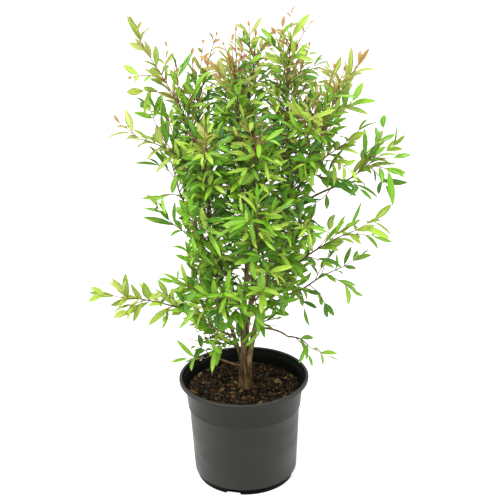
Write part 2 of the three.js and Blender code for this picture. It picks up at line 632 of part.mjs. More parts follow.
// Grows a shoot out of one of a few faces, with a short sleeve at each node for its buds to grow
// from. Buds that are left out grow nothing.
function growShoot(form, faces, shoot, owner, leftOut) {
  const half = NODE / 2 / shoot.curve.getLength();
  const buds = shoot.buds.filter((bud) => !leftOut.has(bud));
  const nodes = [...new Set(buds.map((bud) => bud.u))].sort((a, b) => a - b);
  const sections = nodes.flatMap((u) => [shootSection(shoot, u - half), shootSection(shoot, u + half)]);
  if (nodes.length === 0) sections.push(shootSection(shoot, 1));
  sections.push(bladeSection(shoot.terminal));
  const sleeves = form.grow(faces, sections, bladeTip(shoot.terminal), owner);
  buds.forEach((bud) => {
    const sleeve = sleeves[2 * nodes.indexOf(bud.u) + 1];
    if (bud.leaf) form.grow(sleeve, [bladeSection(bud.leaf)], bladeTip(bud.leaf), bud);
    else growShoot(form, sleeve, bud.twig, bud, leftOut);
  });
}

function mostFrequent(things) {
  const count = (thing) => things.filter((other) => other === thing).length;
  return things.reduce((best, thing) => (count(thing) > count(best) ? thing : best));
}

// Where walls of a mass cross, the bud with the most crossings is left out, leaves before twigs,
// and the mass is grown again without it.
function massSolid(mass, leftOut = new Set()) {
  const form = new Form(shootSection(mass, 0));
  growShoot(form, [1], mass, null, leftOut);
  const buds = form.crossings().filter((bud) => bud);
  if (buds.length === 0) return toSolid(form.geometry());
  const leaves = buds.filter((bud) => bud.leaf);
  return massSolid(mass, leftOut.add(mostFrequent(leaves.length > 0 ? leaves : buds)));
}

// ---- The group of named meshes -----------------------------------------------------------------

const material = (color, roughness) => new THREE.MeshStandardMaterial({ color, roughness, metalness: 0 });
const potPlastic = material(0x3b3a37, 0.42);
const compost = material(0x35271b, 0.95);
const bark = material(0x7a5f3c, 0.85);
const greens = [0x4f8a22, 0x5f9a28, 0x437a1f].map((color) => material(color, 0.55));

const tree = new THREE.Group();

function addMesh(name, geometry, look) {
  const mesh = new THREE.Mesh(geometry, look);
  mesh.name = name;
  tree.add(mesh);
}

// What grows on a limb loses the limb and the gap round it.
const cutClear = (solid, grown) => (grown.parent ? solid.subtract(grownSolid(grown.parent)) : solid);

addMesh('pot', potGeometry(), potPlastic);
addMesh('soil', soilGeometry(), compost);
limbs.forEach((limb) => addMesh(limb.name, toGeometry(largest(cutClear(limbSolid(limb), limb))), bark));
masses.forEach((mass, i) => {
  const look = greens[i % greens.length];
  addMesh(mass.name, toGeometry(largest(cutClear(massSolid(mass), mass))), look);
});

export default tree;
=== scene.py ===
import math
from collections import namedtuple

import bpy
import numpy as np
from mathutils import Matrix, Vector, noise


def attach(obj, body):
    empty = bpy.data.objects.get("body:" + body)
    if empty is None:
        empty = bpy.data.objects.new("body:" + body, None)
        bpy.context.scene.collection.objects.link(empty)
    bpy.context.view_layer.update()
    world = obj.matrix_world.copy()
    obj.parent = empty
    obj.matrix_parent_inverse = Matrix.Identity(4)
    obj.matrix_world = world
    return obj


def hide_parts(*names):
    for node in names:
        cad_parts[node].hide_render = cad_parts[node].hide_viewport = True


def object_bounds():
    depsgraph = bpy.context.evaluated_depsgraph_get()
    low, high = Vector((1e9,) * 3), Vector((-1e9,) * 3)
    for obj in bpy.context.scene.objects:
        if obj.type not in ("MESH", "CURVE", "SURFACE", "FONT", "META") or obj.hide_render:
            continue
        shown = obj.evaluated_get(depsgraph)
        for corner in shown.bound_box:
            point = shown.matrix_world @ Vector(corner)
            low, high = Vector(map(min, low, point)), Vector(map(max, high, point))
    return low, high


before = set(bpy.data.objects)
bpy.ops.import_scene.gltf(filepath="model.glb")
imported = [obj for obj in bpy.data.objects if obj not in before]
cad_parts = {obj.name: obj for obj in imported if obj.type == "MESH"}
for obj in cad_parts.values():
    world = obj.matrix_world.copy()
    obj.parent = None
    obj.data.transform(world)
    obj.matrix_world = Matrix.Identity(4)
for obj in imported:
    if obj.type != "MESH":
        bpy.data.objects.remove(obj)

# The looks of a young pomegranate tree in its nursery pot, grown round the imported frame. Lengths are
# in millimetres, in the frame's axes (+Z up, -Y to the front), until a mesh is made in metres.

CAD_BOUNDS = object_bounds()
MM = 0.001
UP = np.array([0.0, 0.0, 1.0])


def plans(keys, *rows):
    """Plans with the same keys, from a row of values each."""
    return [dict(zip(keys.split(), row)) for row in rows]


# ---- Camera ----

IMAGE = 500  # pixels on a side
CAMERA_PLACE = (12.8, -1443.0, 906.0)
CAMERA_PITCH = 20.9  # degrees down
CAMERA_ROLL = -1.17
FOCAL_PIXELS = 1100
SENSOR = 36.0

# ---- Pot and soil ----

GAP = 0.3
POT_HEIGHT = 160.0
POT_SEGMENTS = 144
# Below POT_FOOT the pot is coloured darker: painted shade under the wall's edge.
POT_FOOT = 10.4
# Above POT_LIP the lip is coloured paler: a painted highlight, along with real gloss.
POT_LIP = 158.3
POT_OUTSIDE = [  # radius and height, from the middle of the underside up to the top of the lip
    (0, 0), (70, 0), (71.8, 0.8), (72.9, 3), (73.9, 9.6), (74.3, 10.3), (75.7, 10.9), (76.1, 12),
    (81.1, 112.6), (81.6, 113.6), (82.7, 114.5), (83.1, 115.6), (82.9, 117), (86.9, 149), (87.6, 152.4),
    (88.8, 153.6), (93.8, 153.9), (94.8, 154.7), (95, 156), (95, 158.2), (94.2, 159.6), (92.8, 160),
]
POT_INSIDE = [  # and from there down to the middle of the floor
    (91.8, 160), (90.9, 159.5), (90.4, 158.4), (89.6, 155), (86.8, 152), (85.4, 149), (81.4, 117),
    (79.6, 113.5), (74.5, 11.5), (72.4, 10), (70, 2.6), (68.6, 2.4), (0, 2.4),
]
DRAIN_COUNT = 4
DRAIN_AZIMUTH = -15.0
DRAIN_WIDTH = 22.0
DRAIN_HEIGHT = 8.5
DRAIN_REACH = (66.0, 78.0)
DRAIN_FOOT = -2.0
DRAIN_POINTS = 11
DRAIN_ROUNDING = 0.6  # a circle's arch has 1, and squarer ones have less
POT_SHARP = 35.0  # degrees, past which an edge is sharp
POT_LOOKS = [  # name, colour and shine of the wall, the foot coloured darker as painted shade, the lip coloured paler as a painted highlight and glossier, and the inside coloured darker as painted shade
    ("pot_plastic", (0.009, 0.0095, 0.0055), 0.26),
    ("pot_foot_painted_shade", (0.001, 0.001, 0.001), 0.02),
    ("pot_lip_painted_highlight", (0.018, 0.018, 0.015), 0.6),
    ("pot_inside_painted_shade", (0.004, 0.004, 0.003), 0.12),
]
SOIL_TOP = 140.0
SOIL_RADIUS = 84.0
SOIL_FOOT = 112.0  # the modelled crust of the soil goes down to here
SOIL_EDGE_DROP = 2.2
SOIL_TAPER = 0.94
LUMP_SIZE = 14
LUMP_DEPTH = 2.4
LUMP_LAYER = 7  # where the noise is cut
LUMP_FRACTAL = (0.9, 2.1, 4)  # how fast finer lumps fade, how much finer each is, how many there are
MOUND_HEIGHT = 1.6
MOUND_SPREAD = 600  # square millimetres
SOIL_RINGS = 44
SOIL_SIDES = 120
SOIL_COLOUR = (0.005, 0.003, 0.0015)
SOIL_DUST = (0.4, 0.3, 0.18)
CHIP_COUNT = 1000
CHIP_LONG = (2.6, 14.0)
CHIP_WIDE = (0.35, 0.8)  # shares of its length
CHIP_THICK = (0.2, 0.5)
CHIP_EDGE = 3  # how far the chips stay from the soil's edge
CHIP_SWING = 0.5
CHIP_CLEAR = 11  # chips this near to the trunk's middle step aside
CHIP_SIDESTEP = 13
CHIP_TILT = 0.7
CHIP_JAGGEDNESS = 0.25
CHIP_LIFT = 0.3
CHIP_TINTS = [
    ("black", (0.004, 0.0025, 0.001)),
    ("dark", (0.012, 0.007, 0.003)),
    ("brown", (0.05, 0.022, 0.007)),
    ("orange", (0.15, 0.06, 0.015)),
    ("tan", (0.17, 0.11, 0.045)),
]
CHIP_DEAL = (0.34, 0.68, 0.88, 0.94, 1.0)  # running shares of those tints
GOLDEN_TURN = 2.39996  # radians from one chip to the next
ANY_TURN = 6.3  # radians, hardly more than once round
FIBRE_COUNT = 50
FIBRE_REACH = (3.0, 9.0)
FIBRE_EDGE = 2
FIBRE_LIFT = 1.0
FIBRE_BOW = 0.8
FIBRE_SWAY = 0.2
FIBRE_SIDES = 5
FIBRE_RADII = (0.2, 0.35, 0.4, 0.4, 0.3, 0.15)
FIBRE_COLOUR = (0.3, 0.2, 0.11)

# ---- Limbs ----
# A limb leaves the trunk's top at a turn of `fork` degrees, or its parent at the share `at` of the
# parent's length, and ends at `to`. `bow` is how far its middle stands off the straight line.

TRUNK = dict(foot=(3, 0, SOIL_TOP + GAP), to=(5, 0, 198), radius=(9.4, 10.4), flare=3.2, bow=1.2)
FLARE_FADING = 9.0
FORK_RADIUS = 5.3
LIMBS = plans(
    "name on fork to bow radius",
    ("stem_middle", "trunk", 220, (12, 6, 450), 3, (4.3, 2.3)),
    ("stem_right", "trunk", -20, (68, -5, 440), 2, (4.3, 2.2)),
    ("stem_back", "trunk", 100, (18, 52, 400), -4, (4.2, 2.1)),
) + plans(
    "name on at to bow radius",
    ("stem_left", "trunk", 0.55, (-44, 4, 450), -13, (3.1, 1.9)),
    ("stem_far_left", "stem_left", 0.33, (-62, 0, 400), -6, (2.3, 1.6)),
    ("stem_back_left", "stem_back", 0.2, (-38, 56, 360), -7, (2.6, 1.7)),
    ("stem_front", "stem_middle", 0.16, (20, -46, 326), -5, (2.7, 1.8)),
    ("bough_upper_right", "stem_right", 0.84, (100, -2, 500), -5, (2, 1.5)),
    ("bough_right_upper", "stem_right", 0.76, (124, -4, 444), 8, (2.1, 1.5)),
    ("bough_right_middle", "stem_right", 0.42, (84, -14, 344), -3, (2.1, 1.4)),
    ("bough_right_lower", "stem_right", 0.24, (84, -8, 296), 4, (2, 1.3)),
    ("bough_low_right", "stem_right", 0.15, (64, -17, 228), 6, (1.9, 1.3)),
    ("bough_low_left", "stem_left", 0.18, (-70, -46, 282), -4, (2, 1.4)),
    ("bough_soil_left", "trunk", 0.6, (-36, -16, 196), -3, (2, 1.4)),
)

TRUNK_ROWS = 60
TRUNK_SIDES = 64
TRUNK_STRANDS = (5, 9, 17)  # how many strands of bark go round, from the coarse to the fine
TRUNK_RELIEF = 0.95
TRUNK_INSET = 0.4
LOBE_WIDTH = 0.7  # radians
LOBE_MEAN = 0.75
LOBE_DEPTH = (1.2, 3.4)  # at the soil and at the top
TOP_SINK = 4.5
STEM_SIDES = 14
STEM_ROW = 3.0
STEM_STRANDS = (5, 9)
STEM_RELIEF = 0.06  # a share of the radius
STRAND_WANDER = 0.9
STRAND_WAVES = (14, 23)
RIDGE_MEAN = 0.64
KNOT_STEPS = (5.3, 8.1)
KNOT_DEPTH = 0.3
SUNK = 16.0  # the three stems run this far down into the trunk
SHOOT_ROW = 7.0
SHOOT_SIDES = 8
TWIG_ROW = 6.0
TWIG_SIDES = 6
BARK_COLOURS = [  # from the furrows to the ridges
    (0.34, (0.018, 0.01, 0.004)), (0.45, (0.07, 0.04, 0.014)),
    (0.54, (0.15, 0.09, 0.03)), (0.66, (0.34, 0.23, 0.1)),
]
STEM_COLOURS = [(0.32, (0.05, 0.03, 0.014)), (0.5, (0.16, 0.1, 0.04)), (0.7, (0.36, 0.26, 0.12))]
TWIG_BARK = (0.1, 0.075, 0.028)
YOUNG_BARK = (0.33, 0.12, 0.07)
YOUNG_HEIGHT = 0.8  # shoots that end above this share of the height are young, thin and red
YOUNG_THINNER = 0.8
YOUNG_TWIG = 0.74  # and so are twigs above this youth

# ---- Masses of foliage ----
# Each grows on one shoot towards `to`, and its twigs reach up to `spread` to the shoot's sides.

MASSES = plans(
    "name on at to bow spread",
    ("low_front_left", "stem_front", 0.3, (-58, -104, 338), 6, 80),
    ("low_front_right", "stem_front", 0.55, (62, -104, 336), 6, 80),
    ("low_right_front", "stem_right", 0.18, (66, -56, 262), 4, 60),
    ("low_right", "stem_right", 0.32, (112, 34, 352), 6, 76),
    ("low_left", "stem_left", 0.25, (-112, -30, 348), 8, 76),
    ("low_left_front", "stem_left", 0.1, (-98, -76, 262), 10, 62),
    ("low_back_left", "stem_back_left", 0.4, (-78, 90, 340), 6, 80),
    ("low_back_right", "stem_back", 0.3, (70, 104, 340), 6, 80),
    ("left", "stem_far_left", 0.6, (-126, 0, 436), 5, 72),
    ("front_left", "stem_left", 0.56, (-70, -104, 462), 6, 84),
    ("inner_left", "stem_left", 0.42, (-30, -60, 412), 4, 70),
    ("front", "stem_front", 1, (24, -122, 486), 6, 84),
    ("front_right", "stem_right", 0.46, (110, -92, 456), 4, 84),
    ("back_left", "stem_back_left", 1, (-84, 100, 500), 5, 84),
    ("back_right", "stem_back", 0.62, (112, 84, 450), 6, 84),
    ("back", "stem_back", 0.76, (4, 132, 500), 5, 84),
    ("far_left", "stem_far_left", 1, (-112, 36, 526), -6, 60),
    ("left_upper", "stem_left", 0.97, (-170, -15, 556), 14, 52),
    ("upper_left", "stem_left", 1, (-141, 5, 688), 10, 50),
    ("top_left", "stem_left", 0.88, (-62, 44, 640), -5, 72),
    ("upper_front_left", "stem_left", 0.66, (-42, -90, 572), 5, 84),
    ("upper_front", "stem_middle", 0.5, (26, -100, 588), 5, 80),
    ("top_front", "stem_middle", 0.86, (-6, -28, 669), -5, 76),
    ("top_middle", "stem_middle", 1, (28, 25, 679), 3, 76),
    ("top_right", "stem_right", 1, (72, -15, 699), 5, 70),
    ("top_front_right", "stem_right", 0.7, (106, -66, 606), -5, 76),
    ("top_back_right", "stem_back", 1, (104, 46, 646), -8, 80),
    ("upper_back", "stem_back", 0.86, (-14, 88, 628), 6, 84),
    ("upper_right", "bough_upper_right", 1, (170, 10, 630), 4, 64),
    ("shoulder", "bough_upper_right", 0.5, (172, -30, 544), 5, 64),
    ("shoulder_top", "bough_upper_right", 0.25, (134, -40, 606), -5, 66),
    ("right_tip", "bough_right_upper", 1, (225, -10, 515), -4, 72),
    ("right_middle", "bough_right_middle", 1, (198, -42, 420), 3, 56),
    ("right_lower", "bough_right_lower", 1, (188, 0, 353), 2, 56),
    ("low_right_tip", "bough_low_right", 1, (142, -30, 190), 5, 50),
    ("low_left_tip", "bough_low_left", 1, (-196, -125, 350), 4, 62),
    ("soil_left", "bough_soil_left", 1, (-100, -46, 210), 4, 52),
)

# ---- Growth rule ----
# The leaves that end the coarse solids' twigs are longer than life. The shoots and twigs here run on
# through them, so that small leaves reach as far.

COARSE_LEAF = 52.0
LEAF = dict(length=40.0, width=8.6, angle=38.0, angle_spread=22.0)
LENGTH_SPREAD = (0.62, 1.24)
WIDTH_SPREAD = (0.7, 1.25)
WIDTH_BY_HEIGHT = (1.04, 0.95)
FREE_WIDER = 1.12
SIZE_BY_HEIGHT = (1.12, 0.68)  # leaves are large low down and small on the young shoots at the top
LIFT_LOW = (-0.42, 0.2)  # how far leaves droop or rise, on the lowest shoots and on the highest
LIFT_HIGH = (-0.05, 0.45)
TWIG = dict(angle=54.0, angle_spread=12.0, rise=0.16, least=11.0, foot_radius=0.75, tip_radius=0.35)
TWIG_BOW = 0.07
TWIG_BARE = 5.0
LEADER_BARE = 2.0
LEADER_LEAF = 0.9
LEADER_SWAY = 0.6
LEADER_SHORT = (0.6, 0.4)  # how much of a leaf's length the leaders stop short, low down and at the top
SPRAY_RADII = (0.85, 0.5)
SPRAY_BARE = 0.2
SPRAY_SPREAD = (0.8, 1)
SPRAY_SWAY = 1.0
SPRAY_YOUTH = 0.8
SHOOT_SPRAY_KEY = 100  # where the seeds of the two kinds of sprays start, and how far apart they are
TWIG_SPRAY_KEY = 500
KEY_STEP = 10
YOUNG_LEAF = 0.45
SHOOT = dict(node_spacing=8.0, bare=0.08, foot_radius=1.5, tip_radius=0.7)
SPACING_BY_HEIGHT = (1.1, 0.64)
TWIG_LEAF = dict(least=0.88, spread=0.24)
TWIG_REACH = dict(least=0.8, spread=0.35, shortening=0.42)
LEAF_SHARE = 0.82
NODE_TURN = 68.75
RUN_ON = 20.0  # how much further the twigs grow than the coarse ones
PAIR_BACK = 3.0
PAIR_STEP = 7.2
PAIR_TURN = 0.6
PAIR_JITTER = 0.4
PAIR_SPREAD = 1.4
END_LEAF = 0.62  # the sizes of the two leaves that a twig ends in, and of those at a full-grown tip
END_LEAF_GROWN = 1.2
END_ANGLE = 0.3
TIP_LEAF = 0.72  # the size of the leaves next to a tip, which are full grown after a run
TIP_RUN = 25.0
SHORTER = (1, 0.75, 0.5)
OTHER_WAYS = (0, 55, -55, 110, -110)
CLOSER = (1, 0.7, 0.45)
SMALLER = (1, 0.76)
FACE_TIPWARD = 0.35
LIGHT_WAY = np.array([0.0, -0.62, 0.78])  # the leaves turn their faces to the front and above
LEVEL_FLATTENING = 0.6
SWAY = 0.02
SPACE_OVERLAP = 14.0  # a fine leaf may stand this far into the next mass's space
LIMB_MARGIN = 0.6
CROWN_FOOT = 200.0
CROWN_RISE = 480.0
CROWN_MIDDLE = 10.0  # in X
CROWN_RADII = (105.0, 120.0)
YOUTH = dict(along=0.42, height=0.3, outward=0.28, radius=150.0)  # what makes a twig young
FOLIAGE_FLOOR = POT_HEIGHT + 3.5
REACH = (np.array(CAD_BOUNDS[0]) / MM - 10, np.array(CAD_BOUNDS[1]) / MM + 8)  # a little past the solids
LINE_POINTS = 12

# ---- The crown's outline from the front ----
# At each height, how far the close foliage reaches to the left and to the right of the pot's axis, as
# it shows from the camera's place. Fine twigs end inside it, and only the sprays stand out of it.

CROWN = [
    (196, -44, -4), (206, -50, 10), (226, -58, 30), (258, -86, 66), (285, -94, 84), (320, -74, 98),
    (360, -68, 98), (385, -74, 116), (410, -84, 84), (445, -76, 98), (480, -86, 108), (515, -96, 130),
    (545, -86, 138), (570, -84, 148), (598, -68, 146), (622, -58, 112), (640, -40, 92), (654, -12, 80),
    (666, 30, 62),
]

# ---- Sprays that stand out of it ----
# The outer part of a mass's own shoot, from the share `bare` of its length on, or a twig that leaves
# the shoot at the share `at` and ends at `to`. Pairs of leaves stand `step` apart on it, each pair
# turned a right angle from the last, about `leaf` long, and the last `young` of them small.

SHOOT_SPRAYS = plans(
    "on bare step leaf young tint",
    ("upper_left", 0.3, 13, 40, 2, "spring"),
    ("left_upper", 0.25, 11, 42, 2, "spring"),
    ("far_left", 0.62, 12, 44, 0, "fresh"),
    ("left", 0.5, 12, 44, 0, "fresh"),
    ("low_left_tip", 0.1, 18, 42, 0, "leafy"),
    ("soil_left", 0.5, 12, 34, 0, "fresh"),
    ("top_left", 0.45, 13, 36, 2, "fresh"),
    ("upper_right", 0.25, 13, 40, 1, "spring"),
    ("shoulder", 0.45, 11, 40, 0, "leafy"),
    ("shoulder_top", 0.5, 11, 36, 1, "fresh"),
    ("right_tip", 0.2, 12, 44, 0, "leafy"),
    ("right_middle", 0.2, 10, 42, 0, "lime"),
    ("right_lower", 0.2, 14, 32, 0, "fresh"),
    ("low_right_tip", 0.25, 12, 38, 0, "fresh"),
    ("top_right", 0.7, 16, 38, 2, "bright"),
    ("top_middle", 0.85, 14, 30, 2, "olive"),
    ("top_front", 0.85, 14, 28, 2, "olive"),
    ("top_back_right", 0.75, 14, 30, 2, "olive"),
    ("top_front_right", 0.8, 12, 30, 2, "olive"),
)
TWIG_SPRAYS = plans(
    "on at to bow step leaf young tint",
    ("upper_left", 0.3, (-117, -12, 566), 3, 10, 34, 0, "fresh"),
    ("upper_left", 0.45, (-56, -14, 588), 2, 11, 38, 0, "bright"),
    ("upper_left", 0.58, (-78, -10, 612), 2, 13, 42, 0, "fresh"),
    ("upper_left", 0.62, (-122, -16, 588), 3, 10, 38, 0, "spring"),
    ("upper_left", 0.5, (-110, 8, 604), 3, 10, 38, 0, "lime"),
    ("upper_left", 0.63, (-82, 18, 616), 2, 13, 22, 2, "bronze"),
    ("upper_left", 0.75, (-136, -22, 608), 5, 10, 30, 1, "lime"),
    ("upper_left", 0.76, (-92, 22, 638), -2, 12, 24, 2, "olive"),
    ("left_upper", 0.6, (-118, 18, 552), -4, 10, 40, 0, "bright"),
    ("left_upper", 0.35, (-96, 14, 548), -4, 10, 42, 0, "fresh"),
    ("far_left", 0.64, (-108, 8, 478), 4, 17, 46, 0, "fresh"),
    ("far_left", 0.4, (-104, -14, 442), 4, 17, 44, 0, "bright"),
    ("low_front_left", 0.5, (-26, -112, 338), 3, 8, 34, 0, "bright"),
    ("low_front_left", 0.3, (2, -96, 322), 3, 9, 34, 0, "fresh"),
    ("low_front_left", 0.7, (-60, -96, 310), -3, 9, 36, 0, "bright"),
    ("low_front_right", 0.45, (30, -118, 344), 3, 8, 34, 0, "bright"),
    ("low_front_right", 0.3, (18, -96, 292), 3, 9, 34, 0, "fresh"),
    ("low_left_front", 0.3, (-42, -66, 232), 3, 10, 34, 0, "bright"),
    ("low_left_front", 0.5, (-62, -84, 300), 3, 9, 38, 0, "fresh"),
    ("low_left", 0.75, (-72, -40, 368), 3, 11, 40, 0, "bright"),
    ("low_left", 0.6, (-92, -62, 334), 3, 10, 38, 0, "bright"),
    ("low_left_tip", 0.2, (-104, -92, 330), 4, 14, 44, 0, "leafy"),
    ("low_left_tip", 0.3, (-104, -92, 300), 3, 15, 36, 0, "fresh"),
    ("low_left_tip", 0.68, (-150, -118, 318), 3, 17, 42, 0, "leafy"),
    ("low_left_tip", 0.85, (-156, -108, 340), -3, 17, 32, 0, "spring"),
    ("soil_left", 0.6, (-66, -40, 226), 2, 11, 28, 0, "green"),
    ("upper_right", 0.62, (140, -22, 610), 2, 11, 28, 1, "olive"),
    ("upper_right", 0.4, (148, -26, 566), 3, 11, 38, 0, "lime"),
    ("shoulder", 0.6, (146, -52, 486), 3, 11, 36, 0, "bright"),
    ("shoulder", 0.45, (142, -30, 512), 3, 11, 38, 0, "lime"),
    ("shoulder_top", 0.6, (150, -34, 572), 3, 10, 40, 0, "bright"),
    ("shoulder", 0.3, (132, -46, 470), -3, 10, 40, 0, "green"),
    ("right_tip", 0.8, (200, -34, 478), 3, 8, 44, 0, "fresh"),
    ("right_tip", 0.6, (182, -34, 500), 3, 9, 38, 0, "green"),
    ("right_tip", 0.02, (98, -30, 430), -3, 10, 44, 0, "green"),
    ("right_tip", 0.04, (119, 20, 466), 2, 9, 44, 0, "green"),
    ("right_tip", 0.35, (162, -30, 452), 3, 10, 36, 0, "green"),
    ("right_tip", 0.7, (176, 20, 486), 2, 10, 34, 0, "fresh"),
    ("right_tip", 0.86, (198, -20, 452), 2, 9, 36, 0, "green"),
    ("right_tip", 0.9, (206, -24, 492), 2, 9, 44, 0, "green"),
    ("right_tip", 0.95, (198, 16, 522), -2, 10, 40, 0, "fresh"),
    ("right_middle", 0.55, (150, -40, 402), 3, 10, 38, 0, "bright"),
    ("right_middle", 0.3, (122, -20, 388), -2, 10, 38, 0, "bright"),
    ("right_middle", 0.1, (110, -34, 348), 2, 10, 38, 0, "fresh"),
    ("right_middle", 0.8, (182, -10, 376), 2, 11, 38, 0, "bright"),
    ("right_lower", 0.2, (116, -22, 282), 3, 10, 34, 0, "green"),
    ("right_lower", 0.35, (124, 20, 330), 2, 10, 28, 0, "green"),
    ("right_lower", 0.5, (127, 24, 350), -2, 11, 18, 0, "green"),
    ("right_lower", 0.6, (154, -20, 300), 3, 12, 32, 0, "fresh"),
    ("low_right", 0.78, (88, -12, 270), 3, 10, 38, 0, "green"),
    ("low_right", 0.5, (92, -24, 300), 3, 10, 38, 0, "green"),
    ("low_right_tip", 0.3, (92, -36, 208), 3, 12, 36, 0, "fresh"),
    ("top_right", 0.86, (94, -30, 672), 2, 13, 26, 2, "olive"),
    ("top_right", 0.84, (52, 4, 654), -2, 12, 38, 1, "bright"),
    ("top_middle", 0.84, (44, 30, 648), 2, 12, 28, 2, "olive"),
    ("top_front", 0.92, (8, -30, 646), -2, 9, 17, 0, "red"),
    ("top_front", 0.9, (-15, -40, 650), 2, 10, 20, 1, "bronze"),
    ("top_front", 0.8, (-38, -30, 628), 3, 12, 30, 2, "olive"),
    ("top_front", 0.86, (0, -25, 664), 2, 10, 22, 1, "bronze"),
    ("top_left", 0.8, (-26, 20, 652), 2, 11, 22, 1, "olive"),
    ("top_left", 0.7, (-44, 26, 640), 2, 12, 30, 2, "olive"),
    ("top_middle", 0.8, (18, 0, 666), 2, 12, 32, 1, "spring"),
    ("top_right", 0.72, (60, -24, 668), -3, 13, 36, 1, "spring"),
    ("upper_right", 0.85, (160, 4, 610), 2, 14, 34, 0, "olive"),
    ("shoulder_top", 0.75, (126, -36, 616), 3, 12, 34, 1, "spring"),
)

# ---- Colours of leaves, dealt out by spray, from the youngest to the oldest; the darker greens also stand in as painted shade ----

LEAF_TINTS = [
    ("red", (0.3, 0.08, 0.05)),
    ("bronze", (0.41, 0.22, 0.065)),
    ("olive", (0.34, 0.31, 0.05)),
    ("pale", (0.42, 0.47, 0.11)),
    ("spring", (0.3, 0.39, 0.04)),
    ("leafy", (0.2, 0.33, 0.02)),
    ("lime", (0.33, 0.51, 0.045)),
    ("bright", (0.205, 0.43, 0.018)),
    ("fresh", (0.125, 0.34, 0.007)),
    ("green", (0.065, 0.235, 0.003)),
    ("deep", (0.03, 0.15, 0.002)),
    ("shade", (0.012, 0.08, 0.001)),
]
TINT_NAMES = [name for name, colour in LEAF_TINTS]
TONE = dict(middle=7.8, inside=0.7, spread=1.9, leaf_spread=1.3)  # places in that list; `inside` darkens a spray's tint deep in the crown as painted shade
YOUNG_TONE = (2.0, 6.0)
YOUNG_CHANCE = dict(rate=3.1, above=0.68)  # how the chance grows above a share of the height
BRONZE_CHANCE = dict(rate=2.2, above=0.77)
BRONZE_LENGTH = 0.6
BRONZE_WIDTH = 0.7
BRONZE_ENDS = ("bronze", "bronze", "olive", "olive")  # the last leaves of such a spray
RIB_PALER = 0.28  # how far a midrib goes towards pale green
RIB_COLOUR = (0.55, 0.62, 0.25)
UNDER_PALER = 0.25
UNDER_COLOUR = (0.3, 0.44, 0.09)

LEAF_OUTLINE = [  # share of the length, share of the half width
    (0, 0.1), (0.06, 0.12), (0.14, 0.4), (0.27, 0.75), (0.42, 0.96), (0.57, 1), (0.72, 0.85),
    (0.85, 0.57), (0.94, 0.3),
]
ACROSS = [-1, -0.5, -0.09, 0, 0.09, 0.5, 1]  # corners across the upper side
RIB_STRIPS = (2, 3)  # which strips between them are the midrib
LEAF_THICKNESS = 0.5
LEAF_KEEL_FADING = 0.7
LEAF_WAVE = 0.16  # how far the margins ripple
LEAF_WAVES = 11

# ---- Floor and light ----

FLOOR_REACH = 30000.0
FLOOR_COLOUR = (0.5, 0.5, 0.49)
FLOOR_GLOW = 0.75  # lifts the shadows on the floor
SKY_STRENGTH = 0.62
SUN_STRENGTH = 2.9
SUN_WIDTH = 25.0  # degrees
SUN_WAY = (0.15, 0.25, -1)
LAMP_TARGET = (0, 0, 0.4)  # metres, as the places
LAMPS = [  # name, place, size, power
    ("key", (-1.3, -1.9, 2.4), 1.0, 40),
    ("fill", (1.9, -1.3, 1.3), 1.6, 8),
    ("top", (0.2, 0.9, 2.3), 1.4, 12),
]


# ---- Small helpers ----

def dice(mass, node, use):
    """A seeded number from 0 to 1 that depends only on which mass, node and use ask for it."""
    value = math.sin(mass * 127.1 + node * 311.7 + use * 74.7) * 43758.5453
    return value - math.floor(value)


def either(share):
    return 2 * share - 1


def lerp(a, b, share):
    return a + (b - a) * share


def unit(vector):
    return vector / np.linalg.norm(vector)


def leaning(along, aside, angle):
    return unit(along * math.cos(angle) + aside * math.sin(angle))


def over_line(along, upright_way):
    """The way square to a line and nearest to up, or along X for a line that is upright itself."""
    over = UP - along * along[2]
    if np.linalg.norm(over) < 0.05:
        over = np.array([upright_way, 0.0, 0.0])
    return unit(over)


# ---- Lines of limbs and shoots ----

class LimbCurve:
    """An arc from foot to tip that bows in its own upright plane and sways a little."""

    DIVISIONS = 100

    def __init__(self, foot, tip, bow, sway, phase):
        self.foot = np.array(foot, float)
        self.run = np.array(tip, float) - self.foot
        along = unit(self.run)
        self.over = over_line(along, -1.0)
        self.aside = unit(np.cross(along, self.over))
        self.bow = bow
        self.sway = sway
        self.phase = phase
        self.shares = np.linspace(0, 1, self.DIVISIONS + 1)
        steps = np.linalg.norm(np.diff(self.raw(self.shares), axis=0), axis=1)
        self.lengths = np.concatenate([[0], np.cumsum(steps)])
        self.length = self.lengths[-1]

    def raw(self, t):
        t = np.asarray(t, float)[..., None]
        middle = 4 * t * (1 - t)
        wander = self.sway * middle * np.sin(2 * np.pi * t + self.phase)
        return self.foot + self.run * t + self.over * self.bow * middle + self.aside * wander

    def at(self, u):
        """The point at a share of the length."""
        return self.raw(np.interp(np.asarray(u) * self.length, self.lengths, self.shares))

    def tangent(self, u):
        t = np.interp(u * self.length, self.lengths, self.shares)
        low, high = max(t - 0.005, 0), min(t + 0.005, 1)
        return unit(self.raw(high) - self.raw(low))


class PointsCurve:
    """A line through points that stand close together."""

    def __init__(self, points):
        self.points = points
        steps = np.linalg.norm(np.diff(points, axis=0), axis=1)
        self.lengths = np.concatenate([[0], np.cumsum(steps)])
        self.length = self.lengths[-1]

    def at(self, u):
        far = np.asarray(u) * self.length
        return np.stack([np.interp(far, self.lengths, self.points[:, axis]) for axis in range(3)], -1)

    def tangent(self, u):
        return unit(self.at(min(u + 0.02, 1)) - self.at(max(u - 0.02, 0)))


class Limb:
    """A tapering line that others can grow on."""

    def __init__(self, foot, tip, bow, radius, seed):
        sway = np.linalg.norm(np.subtract(tip, foot)) * SWAY
        self.seed = seed
        self.radius = radius
        self.curve = LimbCurve(foot, tip, bow, sway, dice(seed, 0, 9) * 2 * math.pi)
        self.line = self.curve.at(np.linspace(0, 1, LINE_POINTS + 1))
        self.flare = 0.0

    def radius_at(self, u):
        return lerp(*self.radius, u) + self.flare * np.exp(-np.asarray(u) * FLARE_FADING)


